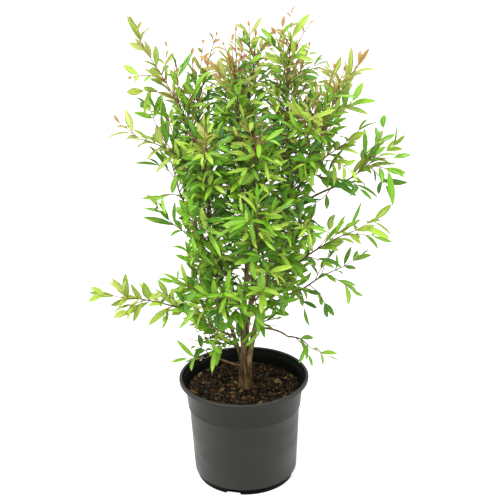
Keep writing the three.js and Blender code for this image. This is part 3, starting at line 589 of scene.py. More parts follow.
def foot_of(plan, parent):
    """Where a limb or shoot starts on its parent."""
    if "fork" in plan:
        turn = math.radians(plan["fork"])
        aside = np.array([math.cos(turn), math.sin(turn), 0])
        return parent.curve.at(1) + aside * FORK_RADIUS + UP * GAP
    foot = parent.curve.at(plan["at"])
    return foot + parent.curve.tangent(1) * GAP if plan["at"] == 1 else foot


def make_limbs():
    trunk = Limb(TRUNK["foot"], TRUNK["to"], TRUNK["bow"], TRUNK["radius"], 1)
    trunk.flare = TRUNK["flare"]
    found = {"trunk": trunk}
    for i, plan in enumerate(LIMBS):
        foot = foot_of(plan, found[plan["on"]])
        found[plan["name"]] = Limb(foot, plan["to"], plan["bow"], plan["radius"], i + 2)
    return found


class Mass:
    """One mass of foliage: its shoot, and the twigs and leaves that grow on it."""

    def __init__(self, plan, index, limbs):
        foot = foot_of(plan, limbs[plan["on"]])
        way = unit(np.array(plan["to"], float) - foot)
        tip = np.array(plan["to"], float) - way * COARSE_LEAF
        self.way = way
        self.name = plan["name"]
        self.index = index
        self.seed = index + 20
        self.spread = plan["spread"]
        self.turn = dice(self.seed, 0, 8) * 2 * math.pi
        radii = (SHOOT["foot_radius"], SHOOT["tip_radius"])
        self.shoot = Limb(foot, tip, plan["bow"], radii, self.seed)
        self.twigs = []
        self.leaves = []


limbs = make_limbs()
masses = [Mass(plan, i, limbs) for i, plan in enumerate(MASSES)]
FOLIAGE_NODES = [f"foliage_{mass.name}" for mass in masses]


# ---- Room ----

class Segments:
    """Many short straight stretches, to measure the distance of points to."""

    def __init__(self, lines):
        self.starts = np.concatenate([line[:-1] for line in lines])
        self.runs = np.concatenate([np.diff(line, axis=0) for line in lines])
        self.squares = (self.runs ** 2).sum(1)

    def distances(self, points):
        """One row for a point, one column for a stretch."""
        away = points[:, None] - self.starts
        share = np.clip((away * self.runs).sum(-1) / self.squares, 0, 1)
        return np.linalg.norm(away - share[..., None] * self.runs, axis=-1)


SHOOT_SEGMENTS = Segments([mass.shoot.line for mass in masses])
LIMB_SEGMENTS = Segments([limb.line for limb in limbs.values()])
LIMB_RADII = np.concatenate([
    limb.radius_at(np.linspace(0, 1, LINE_POINTS + 1)[:-1]) for limb in limbs.values()])


def in_crown(points):
    """True where every point is inside the crown's outline, as it shows from the camera's place."""
    place = np.array(CAMERA_PLACE)
    share = place[1] / (place[1] - points[:, 1])
    spots = place + (points - place) * share[:, None]
    height, left, right = np.array(CROWN, float).T
    inside = (spots[:, 2] > height[0]) & (spots[:, 2] < height[-1])
    inside &= spots[:, 0] > np.interp(spots[:, 2], height, left)
    inside &= spots[:, 0] < np.interp(spots[:, 2], height, right)
    return inside.all()


class TakenRoom:
    """A fine grid over the whole crown, of where leaves and twigs already are."""

    CELL = 2.2
    LOW = np.array([-260.0, -220.0, 120.0])
    HIGH = np.array([280.0, 220.0, 760.0])

    def __init__(self):
        self.grid = np.zeros(((self.HIGH - self.LOW) / self.CELL).astype(int), bool)
        near = np.arange(-1, 2)
        self.near = np.stack(np.meshgrid(near, near, near), -1).reshape(-1, 1, 3)

    def cells(self, points):
        return ((points - self.LOW) / self.CELL).astype(int)

    def free(self, points):
        return not self.grid[tuple(self.cells(points).T)].any()

    def take(self, points):
        around = (self.cells(points) + self.near).reshape(-1, 3)
        self.grid[tuple(around.T)] = True


TAKEN = TakenRoom()


def in_reach(points):
    """True where every point is above the pot and inside the frame's box, or hardly outside."""
    return points[:, 2].min() > FOLIAGE_FLOOR and (points > REACH[0]).all() and (points < REACH[1]).all()


def has_room(points, mass):
    """True where every point is in this mass's own space, and off every limb."""
    if not in_reach(points):
        return False
    near = SHOOT_SEGMENTS.distances(points).reshape(len(points), len(masses), LINE_POINTS).min(-1)
    if (near[:, mass.index] > near.min(1) + SPACE_OVERLAP).any():
        return False
    return (LIMB_SEGMENTS.distances(points) - LIMB_RADII > LIMB_MARGIN).all()


# ---- Growth ----

def sideways(along, turn):
    """A direction to the side of a shoot, at an angle round it, flatter where the shoot is level."""
    over = over_line(along, 1.0)
    across = np.cross(over, along)
    flatten = 1 - LEVEL_FLATTENING * (1 - abs(along[2]))
    return unit(across * math.cos(turn) + over * math.sin(turn) * flatten)


class Leaf:
    """A leaf's place: its root, its line, and its face turned to the light and its shoot's tip."""

    MEASURED = np.array([0.25, 0.45, 0.65, 0.85, 1.0])
    HALVES = np.array([0.8, 1, 0.9, 0.5, 0])
    ROLL = 0.75
    CURL = (0.1, 0.85)
    FOLD = (0.2, 0.75)
    TWIST = 0.6

    def __init__(self, root, direction, along, length, width, key):
        face = along * FACE_TIPWARD + LIGHT_WAY
        face = unit(face - direction * face.dot(direction))
        across = np.cross(face, direction)
        roll = self.ROLL * either(key[0])
        self.root = root
        self.direction = direction
        self.face = face * math.cos(roll) + across * math.sin(roll)
        self.across = np.cross(self.face, direction)
        self.length = length
        self.width = width
        self.curl = lerp(*self.CURL, key[1] ** 1.3)
        self.fold = lerp(*self.FOLD, key[2])
        self.twist = self.TWIST * either(key[3])
        self.tint = 0

    def line(self):
        """Points along the middle of the blade."""
        line = self.root + self.direction * (self.length * self.MEASURED)[:, None]
        return line - self.face * (self.length * self.curl * 0.5 * self.MEASURED ** 2)[:, None]

    def points(self):
        """Points all over the blade, for its room."""
        line = self.line()
        half = self.across * (self.width / 2 * self.HALVES)[:, None]
        return np.concatenate([line - half, line, line + half])


Twig = namedtuple("Twig", "curve radii youth")


def fit_leaf(mass, root, along, aside, angle, lift, size, key, free=False):
    """Tries a leaf at its own angle and then nearer to its twig's line, and keeps the first that fits.

    A free leaf may stand out of the crown's outline and over other masses' space.
    """
    keys = [dice(mass.seed, key, use) for use in range(10, 15)]
    for smaller in SMALLER:
        length = LEAF["length"] * size * smaller * lerp(*LENGTH_SPREAD, keys[4] ** 1.25)
        width = LEAF["width"] * min(1.1, size * smaller) ** 0.6
        width *= lerp(*WIDTH_SPREAD, dice(mass.seed, key, 15))
        width *= lerp(*WIDTH_BY_HEIGHT, height_share(root)) * (FREE_WIDER if free else 1)
        for share in CLOSER:
            direction = unit(leaning(along, aside, angle * share) + UP * lift)
            leaf = Leaf(root, direction, along, length, width, keys)
            points = leaf.points()
            if not TAKEN.free(points) or not (free or in_crown(leaf.line()[:3])):
                continue
            if in_reach(points) if free else has_room(points, mass):
                TAKEN.take(points)
                mass.leaves.append(leaf)
                return leaf
    return None


def height_share(point):
    return float(np.clip((point[2] - CROWN_FOOT) / CROWN_RISE, 0, 1))


def leaf_size(point):
    return lerp(*SIZE_BY_HEIGHT, height_share(point) ** 1.4)


def bud_leaf(mass, curve, u, turn, key, size, free=False):
    along = curve.tangent(u)
    angle = math.radians(LEAF["angle"] + LEAF["angle_spread"] * either(dice(mass.seed, key, 3)))
    root = curve.at(u)
    rise = height_share(root)
    droop, lifted = (lerp(low, high, rise) for low, high in zip(LIFT_LOW, LIFT_HIGH))
    lift = lerp(droop, lifted, dice(mass.seed, key, 4))
    return fit_leaf(mass, root, along, sideways(along, turn), angle, lift, size, key, free)


def leaf_pair(mass, curve, u, turn, key, size, free=False):
    found = [
        bud_leaf(mass, curve, u, turn + side * math.pi, key + 0.25 + side / 4, size, free)
        for side in (0, 1)]
    return [leaf for leaf in found if leaf]


def end_leaves(mass, curve, turn, key, size, free=False):
    """The two small leaves that a twig ends in."""
    along = curve.tangent(1)
    asides = [sideways(along, turn + side * math.pi) for side in (0, 1)]
    found = [
        fit_leaf(mass, curve.at(1), along, aside, END_ANGLE, 0, size * END_LEAF, key + 0.03 + side / 50, free)
        for side, aside in enumerate(asides)]
    return [leaf for leaf in found if leaf]


def dress(mass, curve, turn, key, size, bare):
    """Grows pairs of leaves along a twig, from its tip down to `bare` from its foot."""
    tip = curve.at(1)
    found = end_leaves(mass, curve, turn, key, size)
    back = PAIR_BACK
    count = 0
    while back < curve.length - bare:
        share = 1 - back / curve.length
        grown = lerp(TIP_LEAF, 1.0, min(1, back / TIP_RUN))
        jitter = PAIR_JITTER * either(dice(mass.seed, key + back, 25))
        way = turn + PAIR_TURN + count * math.pi / 2 + jitter
        found += leaf_pair(mass, curve, share, way, key + back, size * grown)
        count += 1
        back += PAIR_STEP * lerp(1, PAIR_SPREAD, height_share(tip) * dice(mass.seed, key, 16))
    return found


def bud_twig(mass, u, turn, key):
    """A twig from one bud of the shoot, as long as its reach allows, with its leaves."""
    shoot = mass.shoot.curve
    foot = shoot.at(u)
    along = shoot.tangent(u)
    angle = math.radians(TWIG["angle"] + TWIG["angle_spread"] * either(dice(mass.seed, key, 1)))
    direction = leaning(along, sideways(along, turn), angle)
    size = TWIG_LEAF["least"] + TWIG_LEAF["spread"] * dice(mass.seed, key, 6)
    reach = mass.spread * (1 - TWIG_REACH["shortening"] * u)
    reach *= TWIG_REACH["least"] + TWIG_REACH["spread"] * dice(mass.seed, key, 2)
    woody = max(TWIG["least"], reach - LEAF_SHARE * COARSE_LEAF * size)
    for share in SHORTER:
        length = max(TWIG["least"], woody * share) + RUN_ON * share
        tip = foot + direction * length + UP * TWIG["rise"] * length
        bow = TWIG_BOW * length * dice(mass.seed, key, 17)
        curve = LimbCurve(foot, tip, bow, length * SWAY, key)
        points = curve.at(np.linspace(0.4, 1, 5))
        if in_crown(points) and has_room(points, mass):
            found = dress(mass, curve, turn, key, size * leaf_size(tip), TWIG_BARE)
            if found:
                radii = (TWIG["foot_radius"], TWIG["tip_radius"])
                mass.twigs.append(Twig(curve, radii, youth_at(u, tip)))
                deal_tints(mass, found, key, tip)
                return True
    return False


def youth_at(u, tip):
    """From 0, old and shaded, to 1, at the end of a young shoot."""
    outward = min(1.0, math.hypot(tip[0] - CROWN_MIDDLE, tip[1]) / YOUTH["radius"])
    return YOUTH["along"] * u + YOUTH["height"] * height_share(tip) + YOUTH["outward"] * outward


def has_chance(rule, rise, roll):
    return roll < rule["rate"] * (rise - rule["above"])


def deal_tints(mass, leaves, key, tip):
    """One tint for a spray, darker inside the crown as painted shade, and its last leaves younger near the
    top.
    """
    rise = height_share(tip)
    away = math.hypot((tip[0] - CROWN_MIDDLE) / CROWN_RADII[0], tip[1] / CROWN_RADII[1])
    # Darker tints towards the crown's middle: painted shade.
    inside = (1 - min(1.0, away)) * (1 - 0.6 * rise)
    roll = dice(mass.seed, key, 18)
    tone = TONE["middle"] + TONE["inside"] * inside + TONE["spread"] * either(roll)
    young = has_chance(YOUNG_CHANCE, rise, dice(mass.seed, key, 24))
    if young:
        tone = lerp(*YOUNG_TONE, roll)
    bronze = has_chance(BRONZE_CHANCE, rise, dice(mass.seed, key, 20))
    brightest = TINT_NAMES.index("olive" if young else "lime")
    for place, leaf in enumerate(leaves):
        mine = tone + TONE["leaf_spread"] * either(dice(mass.seed, key + place, 19))
        leaf.tint = int(np.clip(round(mine), brightest, len(LEAF_TINTS) - 1))
        if bronze and place < len(BRONZE_ENDS):
            leaf.tint = TINT_NAMES.index(BRONZE_ENDS[place])
            leaf.length *= BRONZE_LENGTH
            leaf.width *= BRONZE_WIDTH


def grow_spray(mass, spray, curve, start, key):
    """Pairs of leaves on a spray from its tip down to a share of it, the last of them small."""
    own = TINT_NAMES.index(spray["tint"])
    count = max(1, int(curve.length * (1 - start) / spray["step"]))
    turn = dice(mass.seed, key, 21) * math.pi
    size = spray["leaf"] / LEAF["length"]
    for i in range(count + 1):
        young = i < spray["young"]
        grown = YOUNG_LEAF if young else lerp(*SPRAY_SPREAD, dice(mass.seed, key + i, 22))
        u = 1 - i * spray["step"] / curve.length
        way = turn + i * math.pi / 2
        found = []
        if i == 0:
            found += end_leaves(mass, curve, way, key, size * (END_LEAF if young else END_LEAF_GROWN), True)
        found += leaf_pair(mass, curve, min(u, 0.99), way, key + i, size * grown, True)
        if young:
            tint = min(own, TINT_NAMES.index("olive" if i else "bronze"))
        else:
            tint = own + round(TONE["leaf_spread"] * either(dice(mass.seed, key + i, 23)))
        for leaf in found:
            leaf.tint = int(np.clip(tint, 0, len(LEAF_TINTS) - 1))


def leader_of(mass):
    """The end of a mass's shoot, that runs on through the coarse shoot's last leaf."""
    foot = mass.shoot.curve.at(1)
    short = LEAF["length"] * lerp(*LEADER_SHORT, height_share(foot))
    return LimbCurve(foot, foot + mass.way * (COARSE_LEAF - short), 0, LEADER_SWAY, mass.seed)


def whole_shoot(mass):
    """The shoot and its leader as one line."""
    leader = leader_of(mass)
    shares = np.linspace(0, 1, 60)
    points = np.concatenate([mass.shoot.curve.at(shares), leader.at(shares[1:])])
    return PointsCurve(points)


def grow_sprays():
    by_name = {mass.name: mass for mass in masses}
    for i, spray in enumerate(SHOOT_SPRAYS):
        mass = by_name[spray["on"]]
        grow_spray(mass, spray, whole_shoot(mass), spray["bare"], SHOOT_SPRAY_KEY + KEY_STEP * i)
    for i, spray in enumerate(TWIG_SPRAYS):
        mass = by_name[spray["on"]]
        foot = mass.shoot.curve.at(spray["at"])
        curve = LimbCurve(foot, spray["to"], spray["bow"], SPRAY_SWAY, i)
        mass.twigs.append(Twig(curve, SPRAY_RADII, SPRAY_YOUTH))
        grow_spray(mass, spray, curve, SPRAY_BARE, TWIG_SPRAY_KEY + KEY_STEP * i)


def grow_mass(mass):
    """Buds in pairs all along the shoot: a twig from each that has room, or else a leaf."""
    shoot = mass.shoot.curve
    spacing = SHOOT["node_spacing"] * lerp(*SPACING_BY_HEIGHT, height_share(shoot.at(0.7)))
    nodes = max(4, round(shoot.length / spacing))
    leader = leader_of(mass)
    mass.twigs.append(Twig(leader, (SHOOT["tip_radius"], TWIG["tip_radius"]), 1.0))
    end = leader.at(1)
    if in_crown(end[None]):
        found = dress(mass, leader, mass.turn, nodes, LEADER_LEAF * leaf_size(end), LEADER_BARE)
        deal_tints(mass, found, nodes, end)
    for node in range(nodes - 1, 0, -1):
        u = lerp(SHOOT["bare"], 1, node / nodes)
        turn = mass.turn + math.radians(NODE_TURN * node)
        for side in (0, 1):
            key = node + side / 2
            ways = (turn + side * math.pi + math.radians(way) for way in OTHER_WAYS)
            if not any(bud_twig(mass, u, way, key) for way in ways):
                size = leaf_size(shoot.at(u))
                leaf = bud_leaf(mass, shoot, u, turn + side * math.pi, key, size)
                if leaf:
                    deal_tints(mass, [leaf], key, shoot.at(u))


grow_sprays()
for mass in masses:
    grow_mass(mass)


# ---- Meshes ----

def put(name, data):
    """A new object in the scene."""
    made = bpy.data.objects.new(name, data)
    bpy.context.scene.collection.objects.link(made)
    return made


def mesh_of(name, corners, faces):
    """A mesh in metres from corners in millimetres."""
    mesh = bpy.data.meshes.new(name)
    mesh.from_pydata((np.asarray(corners, float) * MM).tolist(), [], faces)
    return mesh


class Builder:
    """Gathers the corners and faces of one joined piece."""

    def __init__(self):
        self.corners = []
        self.faces = []
        self.count = 0

    def add(self, corners, faces):
        self.corners.append(np.asarray(corners, float))
        self.faces += [tuple(self.count + corner for corner in face) for face in faces]
        self.count += len(corners)

    def mesh(self, name):
        return mesh_of(name, np.concatenate(self.corners), self.faces)

    def piece(self, name, look, slot, replaced, smooth=True):
        return finish_piece(name, self.mesh(name), [look], [0] * len(self.faces), replaced, smooth)


def finish_piece(name, mesh, materials, looks, replaced, smooth=True):
    """Makes a mesh a piece of the plant, with a material for each face, in place of some nodes."""
    for each in materials:
        mesh.materials.append(each)
    mesh.polygons.foreach_set("material_index", looks)
    mesh.polygons.foreach_set("use_smooth", [smooth] * len(mesh.polygons))
    mesh.update()
    piece = put(name, mesh)
    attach(piece, "root")
    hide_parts(*replaced)
    return piece


def ring_faces(rows, sides):
    """Quads between rings of corners, with both ends closed."""
    faces = []
    for row in range(rows - 1):
        for side in range(sides):
            a, b = row * sides + side, row * sides + (side + 1) % sides
            faces.append((a, b, b + sides, a + sides))
    faces.append(tuple(range(sides))[::-1])
    faces.append(tuple((rows - 1) * sides + side for side in range(sides)))
    return faces


def frames_along(curve, shares):
    """Two directions square to the curve at each share, that turn as little as can be."""
    first = []
    tangent = curve.tangent(shares[0])
    side = unit(np.cross(tangent, UP if abs(tangent[2]) < 0.9 else np.array([0.0, 1.0, 0.0])))
    for share in shares:
        tangent = curve.tangent(share)
        side = unit(side - tangent * side.dot(tangent))
        first.append((side, np.cross(tangent, side)))
    return np.array(first)


def tube(curve, radii, sides, shares, relief=None):
    """Rings of corners along a curve: radii at each share, and a relief added at each corner."""
    frames = frames_along(curve, shares)
    turns = np.arange(sides) * 2 * math.pi / sides
    centres = curve.at(shares)
    around = frames[:, :1] * np.cos(turns)[None, :, None] + frames[:, 1:] * np.sin(turns)[None, :, None]
    reach = np.repeat(np.asarray(radii, float)[:, None], sides, 1)
    if relief is not None:
        reach = reach + relief(turns[None, :], (np.asarray(shares) * curve.length)[:, None])
    return (centres[:, None] + around * reach[..., None]).reshape(-1, 3)


# ---- Materials ----

def shader_of(made):
    return made.node_tree.nodes["Principled BSDF"]


def material(name, colour, roughness, specular):
    """A Principled material with uniform values on its own sockets."""
    made = bpy.data.materials.new(name)
    made.use_nodes = True
    sockets = shader_of(made).inputs
    sockets["Base Color"].default_value = (*colour, 1)
    sockets["Roughness"].default_value = roughness
    sockets["Specular IOR Level"].default_value = specular
    return made


def add_node(made, kind, **values):
    """A node with values on its sockets, where an underscore stands for the space in a name."""
    node = made.node_tree.nodes.new(kind)
    for socket, value in values.items():
        node.inputs[socket.replace("_", " ")].default_value = value
    return node


def add_noise(made, scale, detail, stretch=(1, 1, 1)):
    """A noise texture in the object's own coordinates."""
    place = add_node(made, "ShaderNodeTexCoord")
    mapping = add_node(made, "ShaderNodeMapping", Scale=stretch)
    texture = add_node(made, "ShaderNodeTexNoise", Scale=scale, Detail=detail)
    made.node_tree.links.new(place.outputs["Object"], mapping.inputs["Vector"])
    made.node_tree.links.new(mapping.outputs["Vector"], texture.inputs["Vector"])
    return texture


def add_bump(made, texture, strength, depth):
    bump = add_node(made, "ShaderNodeBump", Strength=strength, Distance=depth * MM)
    made.node_tree.links.new(texture.outputs["Fac"], bump.inputs["Height"])
    made.node_tree.links.new(bump.outputs["Normal"], shader_of(made).inputs["Normal"])


def add_roughness(made, texture, low, high):
    spread = add_node(made, "ShaderNodeMapRange", From_Min=0.3, From_Max=0.7, To_Min=low, To_Max=high)
    made.node_tree.links.new(texture.outputs["Fac"], spread.inputs["Value"])
    made.node_tree.links.new(spread.outputs["Result"], shader_of(made).inputs["Roughness"])


def add_colours(made, texture, stops):
    """Colours the surface by a texture through a ramp of (place, colour) stops."""
    ramp = add_node(made, "ShaderNodeValToRGB")
    marks = ramp.color_ramp.elements
    for mark, (place, colour) in ((marks[0], stops[0]), (marks[1], stops[-1])):
        mark.position = place
        mark.color = (*colour, 1)
    for place, colour in stops[1:-1]:
        marks.new(place).color = (*colour, 1)
    made.node_tree.links.new(texture.outputs["Fac"], ramp.inputs["Fac"])
    made.node_tree.links.new(ramp.outputs["Color"], shader_of(made).inputs["Base Color"])


def mixed(colour, other, share):
    return tuple(lerp(a, b, share) for a, b in zip(colour, other))


def leaf_material(name, colour, roughness):
    made = material(name, colour, roughness, specular=0.4)
    sockets = shader_of(made).inputs
    sockets["Subsurface Weight"].default_value = 0.12
    sockets["Subsurface Radius"].default_value = (0.8, 1.0, 0.2)
    sockets["Subsurface Scale"].default_value = 2 * MM
    veins = add_noise(made, scale=900, detail=2)
    add_bump(made, veins, strength=0.35, depth=0.25)
    add_roughness(made, veins, roughness - 0.07, roughness + 0.1)
    return made


def leaf_looks(name, colour):
    """The materials of a leaf's upper side, midrib and underside."""
    return [
        leaf_material(f"leaf_{name}", colour, 0.34),
        leaf_material(f"leaf_{name}_rib", mixed(colour, RIB_COLOUR, RIB_PALER), 0.45),
        leaf_material(f"leaf_{name}_under", mixed(colour, UNDER_COLOUR, UNDER_PALER), 0.6),
    ]


def bark_material():
    """Deep brown furrows between pale fibrous ridges."""
    made = material("bark_old", BARK_COLOURS[2][1], roughness=0.85, specular=0.25)
    fine = add_noise(made, scale=260, detail=6, stretch=(1, 1, 0.16))
    add_colours(made, fine, BARK_COLOURS)
    add_bump(made, fine, strength=0.9, depth=1.2)
    return made


def stem_material():
    made = material("bark_stem", STEM_COLOURS[1][1], roughness=0.7, specular=0.35)
    fine = add_noise(made, scale=420, detail=5, stretch=(1, 1, 0.2))
    add_colours(made, fine, STEM_COLOURS)
    add_bump(made, fine, strength=0.8, depth=0.6)
    return made


def twig_material(name, colour):
    made = material(name, colour, roughness=0.55, specular=0.4)
    fine = add_noise(made, scale=500, detail=3, stretch=(1, 1, 0.3))
    add_bump(made, fine, strength=0.5, depth=0.3)
    add_roughness(made, fine, low=0.45, high=0.7)
    return made


def pot_material(name, colour, specular):
    made = material(name, colour, roughness=0.38, specular=specular)
    broad = add_noise(made, scale=14, detail=3, stretch=(1, 1, 2.5))
    add_roughness(made, broad, low=0.36, high=0.5)
    fine = add_noise(made, scale=1400, detail=2)
    add_bump(made, fine, strength=0.12, depth=0.12)
    return made


def soil_material(name, colour, depth):
    made = material(name, colour, roughness=0.9, specular=0.12)
    rough = add_noise(made, scale=420, detail=5)
    dark = mixed(colour, (0, 0, 0), 0.6)
    pale = mixed(colour, SOIL_DUST, 0.25)
    add_colours(made, rough, [(0.35, dark), (0.52, colour), (0.7, pale)])
    add_bump(made, rough, strength=0.8, depth=depth)
    return made


# ---- Leaves ----

def leaf_faces():
    """The faces of one leaf and the look of each: 0 the blade, 1 the midrib, 2 the underside."""
    keel = len(ACROSS)
    width = keel + 1
    tip = len(LEAF_OUTLINE) * width
    strips = [(i, i + 1, int(i in RIB_STRIPS)) for i in range(keel - 1)]
    strips += [(keel - 1, keel, 2), (keel, 0, 2)]
    faces = []
    looks = []
    for low in range(0, tip, width):
        high = low + width
        for a, b, look in strips:
            faces.append((low + a, low + b, *((tip,) if high == tip else (high + b, high + a))))
            looks.append(look)
    faces.append((*reversed(range(keel)), keel))
    looks.append(2)
    return faces, looks


def leaf_corners(leaves):
    """The corners of many leaves at once: an array of leaf, corner and axis."""
    root, direction, face, across = (
        np.array([getattr(leaf, name) for leaf in leaves])[:, None, None]
        for name in ("root", "direction", "face", "across"))
    length, width, curl, fold, twist = (
        np.array([getattr(leaf, name) for leaf in leaves])[:, None, None]
        for name in ("length", "width", "curl", "fold", "twist"))
    u, half = np.array(LEAF_OUTLINE + [(1, 0)]).T[:, None, :, None]
    half = half * width / 2
    side = np.array(ACROSS + [0])[None, None, :]
    bend = curl * u
    forward = length * np.sin(bend) / curl
    back = length * (1 - np.cos(bend)) / curl
    turn = twist * u
    out = half * side * np.cos(fold)
    waves = np.sin(LEAF_WAVES * u + 9 * twist + 2 * side)
    ripple = LEAF_WAVE * np.abs(side) ** 2 * waves * np.sin(np.pi * u)
    lift = half * np.abs(side) * np.sin(fold) + ripple
    lift[..., -1] -= LEAF_THICKNESS * (1 - LEAF_KEEL_FADING * u[..., 0])
    rise = lift * np.cos(turn) + out * np.sin(turn)
    out = out * np.cos(turn) - lift * np.sin(turn)
    corners = root + direction * (forward + rise * np.sin(bend))[..., None]
    corners = corners + face * (rise * np.cos(bend) - back)[..., None] + across * out[..., None]
    rows = corners[:, :-1].reshape(len(leaves), -1, 3)
    tips = corners[:, -1:, 3]
    return np.concatenate([rows, tips], axis=1)


def build_leaves():
    faces, looks = leaf_faces()
    faces = [np.array(face) for face in faces]
    for tint, (name, colour) in enumerate(LEAF_TINTS):
        leaves = [leaf for mass in masses for leaf in mass.leaves if leaf.tint == tint]
        if not leaves:
            continue
        corners = leaf_corners(leaves)
        each = corners.shape[1]
        every = [tuple(face + i * each) for i in range(len(leaves)) for face in faces]
        piece = f"leaves_{name}"
        mesh = mesh_of(piece, corners.reshape(-1, 3), every)
        materials = leaf_looks(name, colour)
        finish_piece(piece, mesh, materials, looks * len(leaves), FOLIAGE_NODES)


# ---- Twigs, stems and trunk ----

def strands(seed, counts, depth):
    """A relief of fibrous strands that wander as they run along a limb."""
    def relief(turn, distance):
        total = 0
        for i, count in enumerate(counts):
            wave = lerp(*STRAND_WAVES, dice(seed, i, 30))
            wander = STRAND_WANDER * np.sin(distance / wave + ANY_TURN * dice(seed, i, 31))
            ridge = np.abs(np.sin(0.5 * count * turn + ANY_TURN * dice(seed, i, 32) + wander))
            total = total + (ridge - RIDGE_MEAN) / (i + 1)
        near, far = (distance / step for step in KNOT_STEPS)
        knots = np.sin(near + turn) * np.sin(far + 2 * turn + seed)
        return depth * (total + KNOT_DEPTH * knots)
    return relief


def build_trunk():
    """The trunk, with a lobe under each stem that stands on it, and its top sunk between them."""
    trunk = limbs["trunk"]
    forks = [math.radians(plan["fork"]) for plan in LIMBS if "fork" in plan]
    fine = strands(1, TRUNK_STRANDS, TRUNK_RELIEF)

    def relief(turn, distance):
        rise = np.clip(distance / trunk.curve.length, 0, 1)
        lobes = sum(np.exp(-((np.angle(np.exp(1j * (turn - fork)))) / LOBE_WIDTH) ** 2) for fork in forks)
        top = -TOP_SINK * np.clip((rise - 0.9) / 0.1, 0, 1) ** 2
        return (lobes - LOBE_MEAN) * lerp(*LOBE_DEPTH, rise) + fine(turn, distance) + top

    shares = np.linspace(0, 1, TRUNK_ROWS)
    corners = tube(trunk.curve, trunk.radius_at(shares) - TRUNK_INSET, TRUNK_SIDES, shares, relief)
    wood = Builder()
    wood.add(corners, ring_faces(TRUNK_ROWS, TRUNK_SIDES))
    wood.piece("trunk_bark", bark_material(), "bark", ["trunk"])


def build_stems():
    """Stems and boughs with strands of bark, and the forked ones' feet run down into the trunk."""
    wood = Builder()
    for plan in LIMBS:
        limb = limbs[plan["name"]]
        shares = np.linspace(0, 1, max(12, int(limb.curve.length / STEM_ROW)))
        relief = strands(limb.seed, STEM_STRANDS, STEM_RELIEF * limb.radius[0])
        corners = tube(limb.curve, limb.radius_at(shares), STEM_SIDES, shares, relief)
        if "fork" in plan:
            below = corners[:STEM_SIDES] - limb.curve.tangent(0) * SUNK
            corners = np.concatenate([below, corners])
        wood.add(corners, ring_faces(len(corners) // STEM_SIDES, STEM_SIDES))
    wood.piece("stems_bark", stem_material(), "bark", [plan["name"] for plan in LIMBS])


def build_twigs():
    """All shoots and twigs: the older ones brown, the young ones red."""
    old = Builder()
    young = Builder()

    def add(builder, curve, shares, radii, sides):
        builder.add(tube(curve, radii, sides, shares), ring_faces(len(shares), sides))

    for mass in masses:
        shoot = mass.shoot.curve
        high = height_share(shoot.at(1)) > YOUNG_HEIGHT
        shares = np.linspace(0, 1, max(6, int(shoot.length / SHOOT_ROW)))
        radii = mass.shoot.radius_at(shares) * (YOUNG_THINNER if high else 1)
        add(young if high else old, shoot, shares, radii, SHOOT_SIDES)
        for twig in mass.twigs:
            shares = np.linspace(0, 1, max(4, int(twig.curve.length / TWIG_ROW)))
            builder = young if twig.youth > YOUNG_TWIG else old
            add(builder, twig.curve, shares, lerp(*twig.radii, shares), TWIG_SIDES)
    old.piece("twigs_old", twig_material("bark_twig", TWIG_BARK), "bark", FOLIAGE_NODES)
    young.piece("twigs_young", twig_material("bark_young", YOUNG_BARK), "bark", FOLIAGE_NODES)


# ---- Pot ----

def pot_look(face):
    """Which of the pot's looks a face has, by its height and by whether it faces the pot's middle: the darker
    foot and inside are painted shade, and the paler lip a painted highlight.
    """
    # The top of the lip is coloured paler: a painted highlight.
    if face.center.z > POT_LIP * MM:
        return 2
    # The band below the foot's edge is coloured darker: painted shade.
    if face.center.z < POT_FOOT * MM:
        return 1
    # Faces turned to the pot's middle are coloured darker: painted shade inside the pot.
    return 3 if face.center.xy.dot(face.normal.xy) < 0 else 0


def lathe(profile, segments):
    """A closed body of revolution whose profile starts and ends on the axis."""
    turns = np.arange(segments) * 2 * math.pi / segments
    rings = [[(r * math.cos(t), r * math.sin(t), z) for t in turns] for r, z in profile[1:-1]]
    corners = [(0, 0, profile[0][1])] + [corner for ring in rings for corner in ring]
    corners.append((0, 0, profile[-1][1]))
    faces = []
    for i in range(segments):
        j = (i + 1) % segments
        faces.append((0, 1 + j, 1 + i))
        for ring in range(len(rings) - 1):
            low = 1 + ring * segments
            faces.append((low + i, low + j, low + segments + j, low + segments + i))
        low = 1 + (len(rings) - 1) * segments
        faces.append((low + i, low + j, len(corners) - 1))
    return corners, faces


def drain_cutter():
    """Low arches, pushed through the pot's foot."""
    half = DRAIN_WIDTH / 2
    turns = np.linspace(0.1, math.pi - 0.1, DRAIN_POINTS)
    arch = [(-half, DRAIN_FOOT)]
    arch += [(-half * math.cos(t), DRAIN_HEIGHT * math.sin(t) ** DRAIN_ROUNDING) for t in turns]
    arch += [(half, DRAIN_FOOT)]
    cutter = Builder()
    for i in range(DRAIN_COUNT):
        turn = math.radians(DRAIN_AZIMUTH + i * 360 / DRAIN_COUNT)
        out = np.array([math.cos(turn), math.sin(turn), 0])
        aside = np.array([-math.sin(turn), math.cos(turn), 0])
        corners = [out * r + aside * y + UP * z for r in DRAIN_REACH for y, z in reversed(arch)]
        cutter.add(corners, ring_faces(2, len(arch)))
    return put("drain_cutter", cutter.mesh("drain_cutter"))


def build_pot():
    """The shell with its lip, and the drains cut out of its foot."""
    whole = put("pot_whole", mesh_of("pot_whole", *lathe(POT_OUTSIDE + POT_INSIDE, POT_SEGMENTS)))
    cutter = drain_cutter()
    cut = whole.modifiers.new("drains", "BOOLEAN")
    cut.operation = "DIFFERENCE"
    cut.solver = "EXACT"
    cut.object = cutter
    bpy.context.view_layer.update()
    graph = bpy.context.evaluated_depsgraph_get()
    mesh = bpy.data.meshes.new_from_object(whole.evaluated_get(graph))
    for each in (whole, cutter):
        bpy.data.objects.remove(each)
    mesh.materials.clear()
    looks = [pot_look(face) for face in mesh.polygons]
    materials = [pot_material(*look) for look in POT_LOOKS]
    pot = finish_piece("pot_shell", mesh, materials, looks, ["pot"])
    pot.data.set_sharp_from_angle(angle=math.radians(POT_SHARP))


# ---- Soil ----

